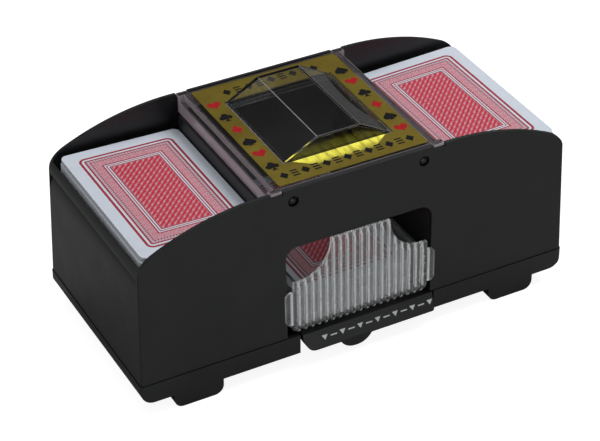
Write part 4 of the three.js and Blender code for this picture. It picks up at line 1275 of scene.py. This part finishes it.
SINGLE = {
    "gear_plate": (INNER_BLACK, 0.2), "motor_can": (MOTOR_STEEL, 0.5), "motor_end_cap": (INNER_BLACK, 0.2),
    "switch_block": (INNER_BLACK, 0.25), "switch_leaf": (BRASS, 0.05), "lever_pin": (STEEL, 0.15),
    "lever_spring": (STEEL, 0.08), "red_wire": (RED_PVC, 0.05), "black_wire": (BLACK_PVC, 0.05),
    "compound_gear": (GEAR_NYLON, 0.12), "motor_pinion": (BRASS, 0.1),
}
for piece_name, (finish_material, edge_width) in SINGLE.items():
    refine(piece_name, finish_material, edge_width)


# ---- floor, light and camera -------------------------------------------------------------------------------
def white_floor():
    size = 4000
    corners = [(-size, -size, 0), (size, -size, 0), (size, size, 0), (-size, size, 0)]
    floor = new_object("floor", corners, [(0, 1, 2, 3)])
    floor.location.z = -0.02 * MM
    recipe = Recipe("pale_floor", Roughness=0.9)
    recipe.finish("Specular IOR Level", 0.0)
    cloud = recipe.noise(300, 2.0)
    recipe.finish("Base Color", recipe.blend(cloud, rgb(0.36, 0.36, 0.37), rgb(0.39, 0.39, 0.39)))
    output = recipe.tree.nodes["Material Output"]
    path = recipe.tree.nodes.new("ShaderNodeLightPath")
    glow = recipe.tree.nodes.new("ShaderNodeEmission")
    glow.inputs["Color"].default_value = rgb(1, 1, 1)
    recipe.plug(glow.inputs["Strength"], recipe.times(path.outputs["Is Camera Ray"], 0.9))
    both = recipe.tree.nodes.new("ShaderNodeAddShader")
    recipe.plug(both.inputs[0], recipe.shader.outputs[0])
    recipe.plug(both.inputs[1], glow.outputs[0])
    recipe.plug(output.inputs["Surface"], both.outputs[0])
    floor.data.materials.append(recipe.material)


def area_light(name, location, aim, size, power):
    light = bpy.data.lights.new(name, "AREA")
    light.shape = "RECTANGLE"
    light.size, light.size_y = size[0] * MM, size[1] * MM
    light.energy = power
    obj = link(name, light)
    obj.location = Vector(location) * MM
    direction = (Vector(aim) - Vector(location)).normalized()
    obj.rotation_euler = direction.to_track_quat("-Z", "Y").to_euler()


def studio():
    middle = (0, 0, 60)
    area_light("key_softbox", (450, 60, 820), middle, (600, 500), 4.6)
    area_light("left_fill", (-1050, 60, 460), middle, (1200, 900), 2.4)
    area_light("front_fill", (-100, -1100, 90), middle, (500, 150), 2.5)
    world = bpy.data.worlds.new("studio")
    bpy.context.scene.world = world
    world.use_nodes = True
    tree = world.node_tree
    path = tree.nodes.new("ShaderNodeLightPath")
    place_in_sky = tree.nodes.new("ShaderNodeTexCoord")
    split = tree.nodes.new("ShaderNodeSeparateXYZ")
    tree.links.new(place_in_sky.outputs["Generated"], split.inputs[0])
    rise = tree.nodes.new("ShaderNodeMapRange")
    tree.links.new(split.outputs["Z"], rise.inputs["Value"])
    for label, value in (("From Min", 0.62), ("From Max", 0.95), ("To Min", 0.07), ("To Max", 0.85)):
        rise.inputs[label].default_value = value
    mix = tree.nodes.new("ShaderNodeMix")
    mix.data_type = "RGBA"
    tree.links.new(rise.outputs["Result"], mix.inputs["A"])
    mix.inputs["B"].default_value = rgb(0.95, 0.95, 0.95)
    tree.links.new(path.outputs["Is Camera Ray"], mix.inputs["Factor"])
    tree.links.new(mix.outputs["Result"], tree.nodes["Background"].inputs["Color"])


def camera():
    """A long-lens view from the front left, a third of the way up."""
    azimuth, elevation, roll = math.radians(-28.15), math.radians(35.12), -0.00356
    distance, aim = 1000.56, Vector((6.0, 20.16, 25.34))
    back = Vector((math.sin(azimuth) * math.cos(elevation), -math.cos(azimuth) * math.cos(elevation),
                   math.sin(elevation)))
    level_right = Vector((math.cos(azimuth), math.sin(azimuth), 0))
    level_up = back.cross(level_right)
    right = level_right * math.cos(roll) + level_up * math.sin(roll)
    up = level_up * math.cos(roll) - level_right * math.sin(roll)
    data = bpy.data.cameras.new("camera")
    data.sensor_width = 36
    data.lens = 126.92
    data.clip_start = 0.01
    data.clip_end = 100
    obj = link("camera", data)
    rotation = Matrix((right, up, back)).transposed()
    obj.matrix_world = Matrix.Translation((aim + back * distance) * MM) @ rotation.to_4x4()
    bpy.context.scene.camera = obj


white_floor()
studio()
camera()
bpy.context.scene.view_settings.view_transform = "Standard"
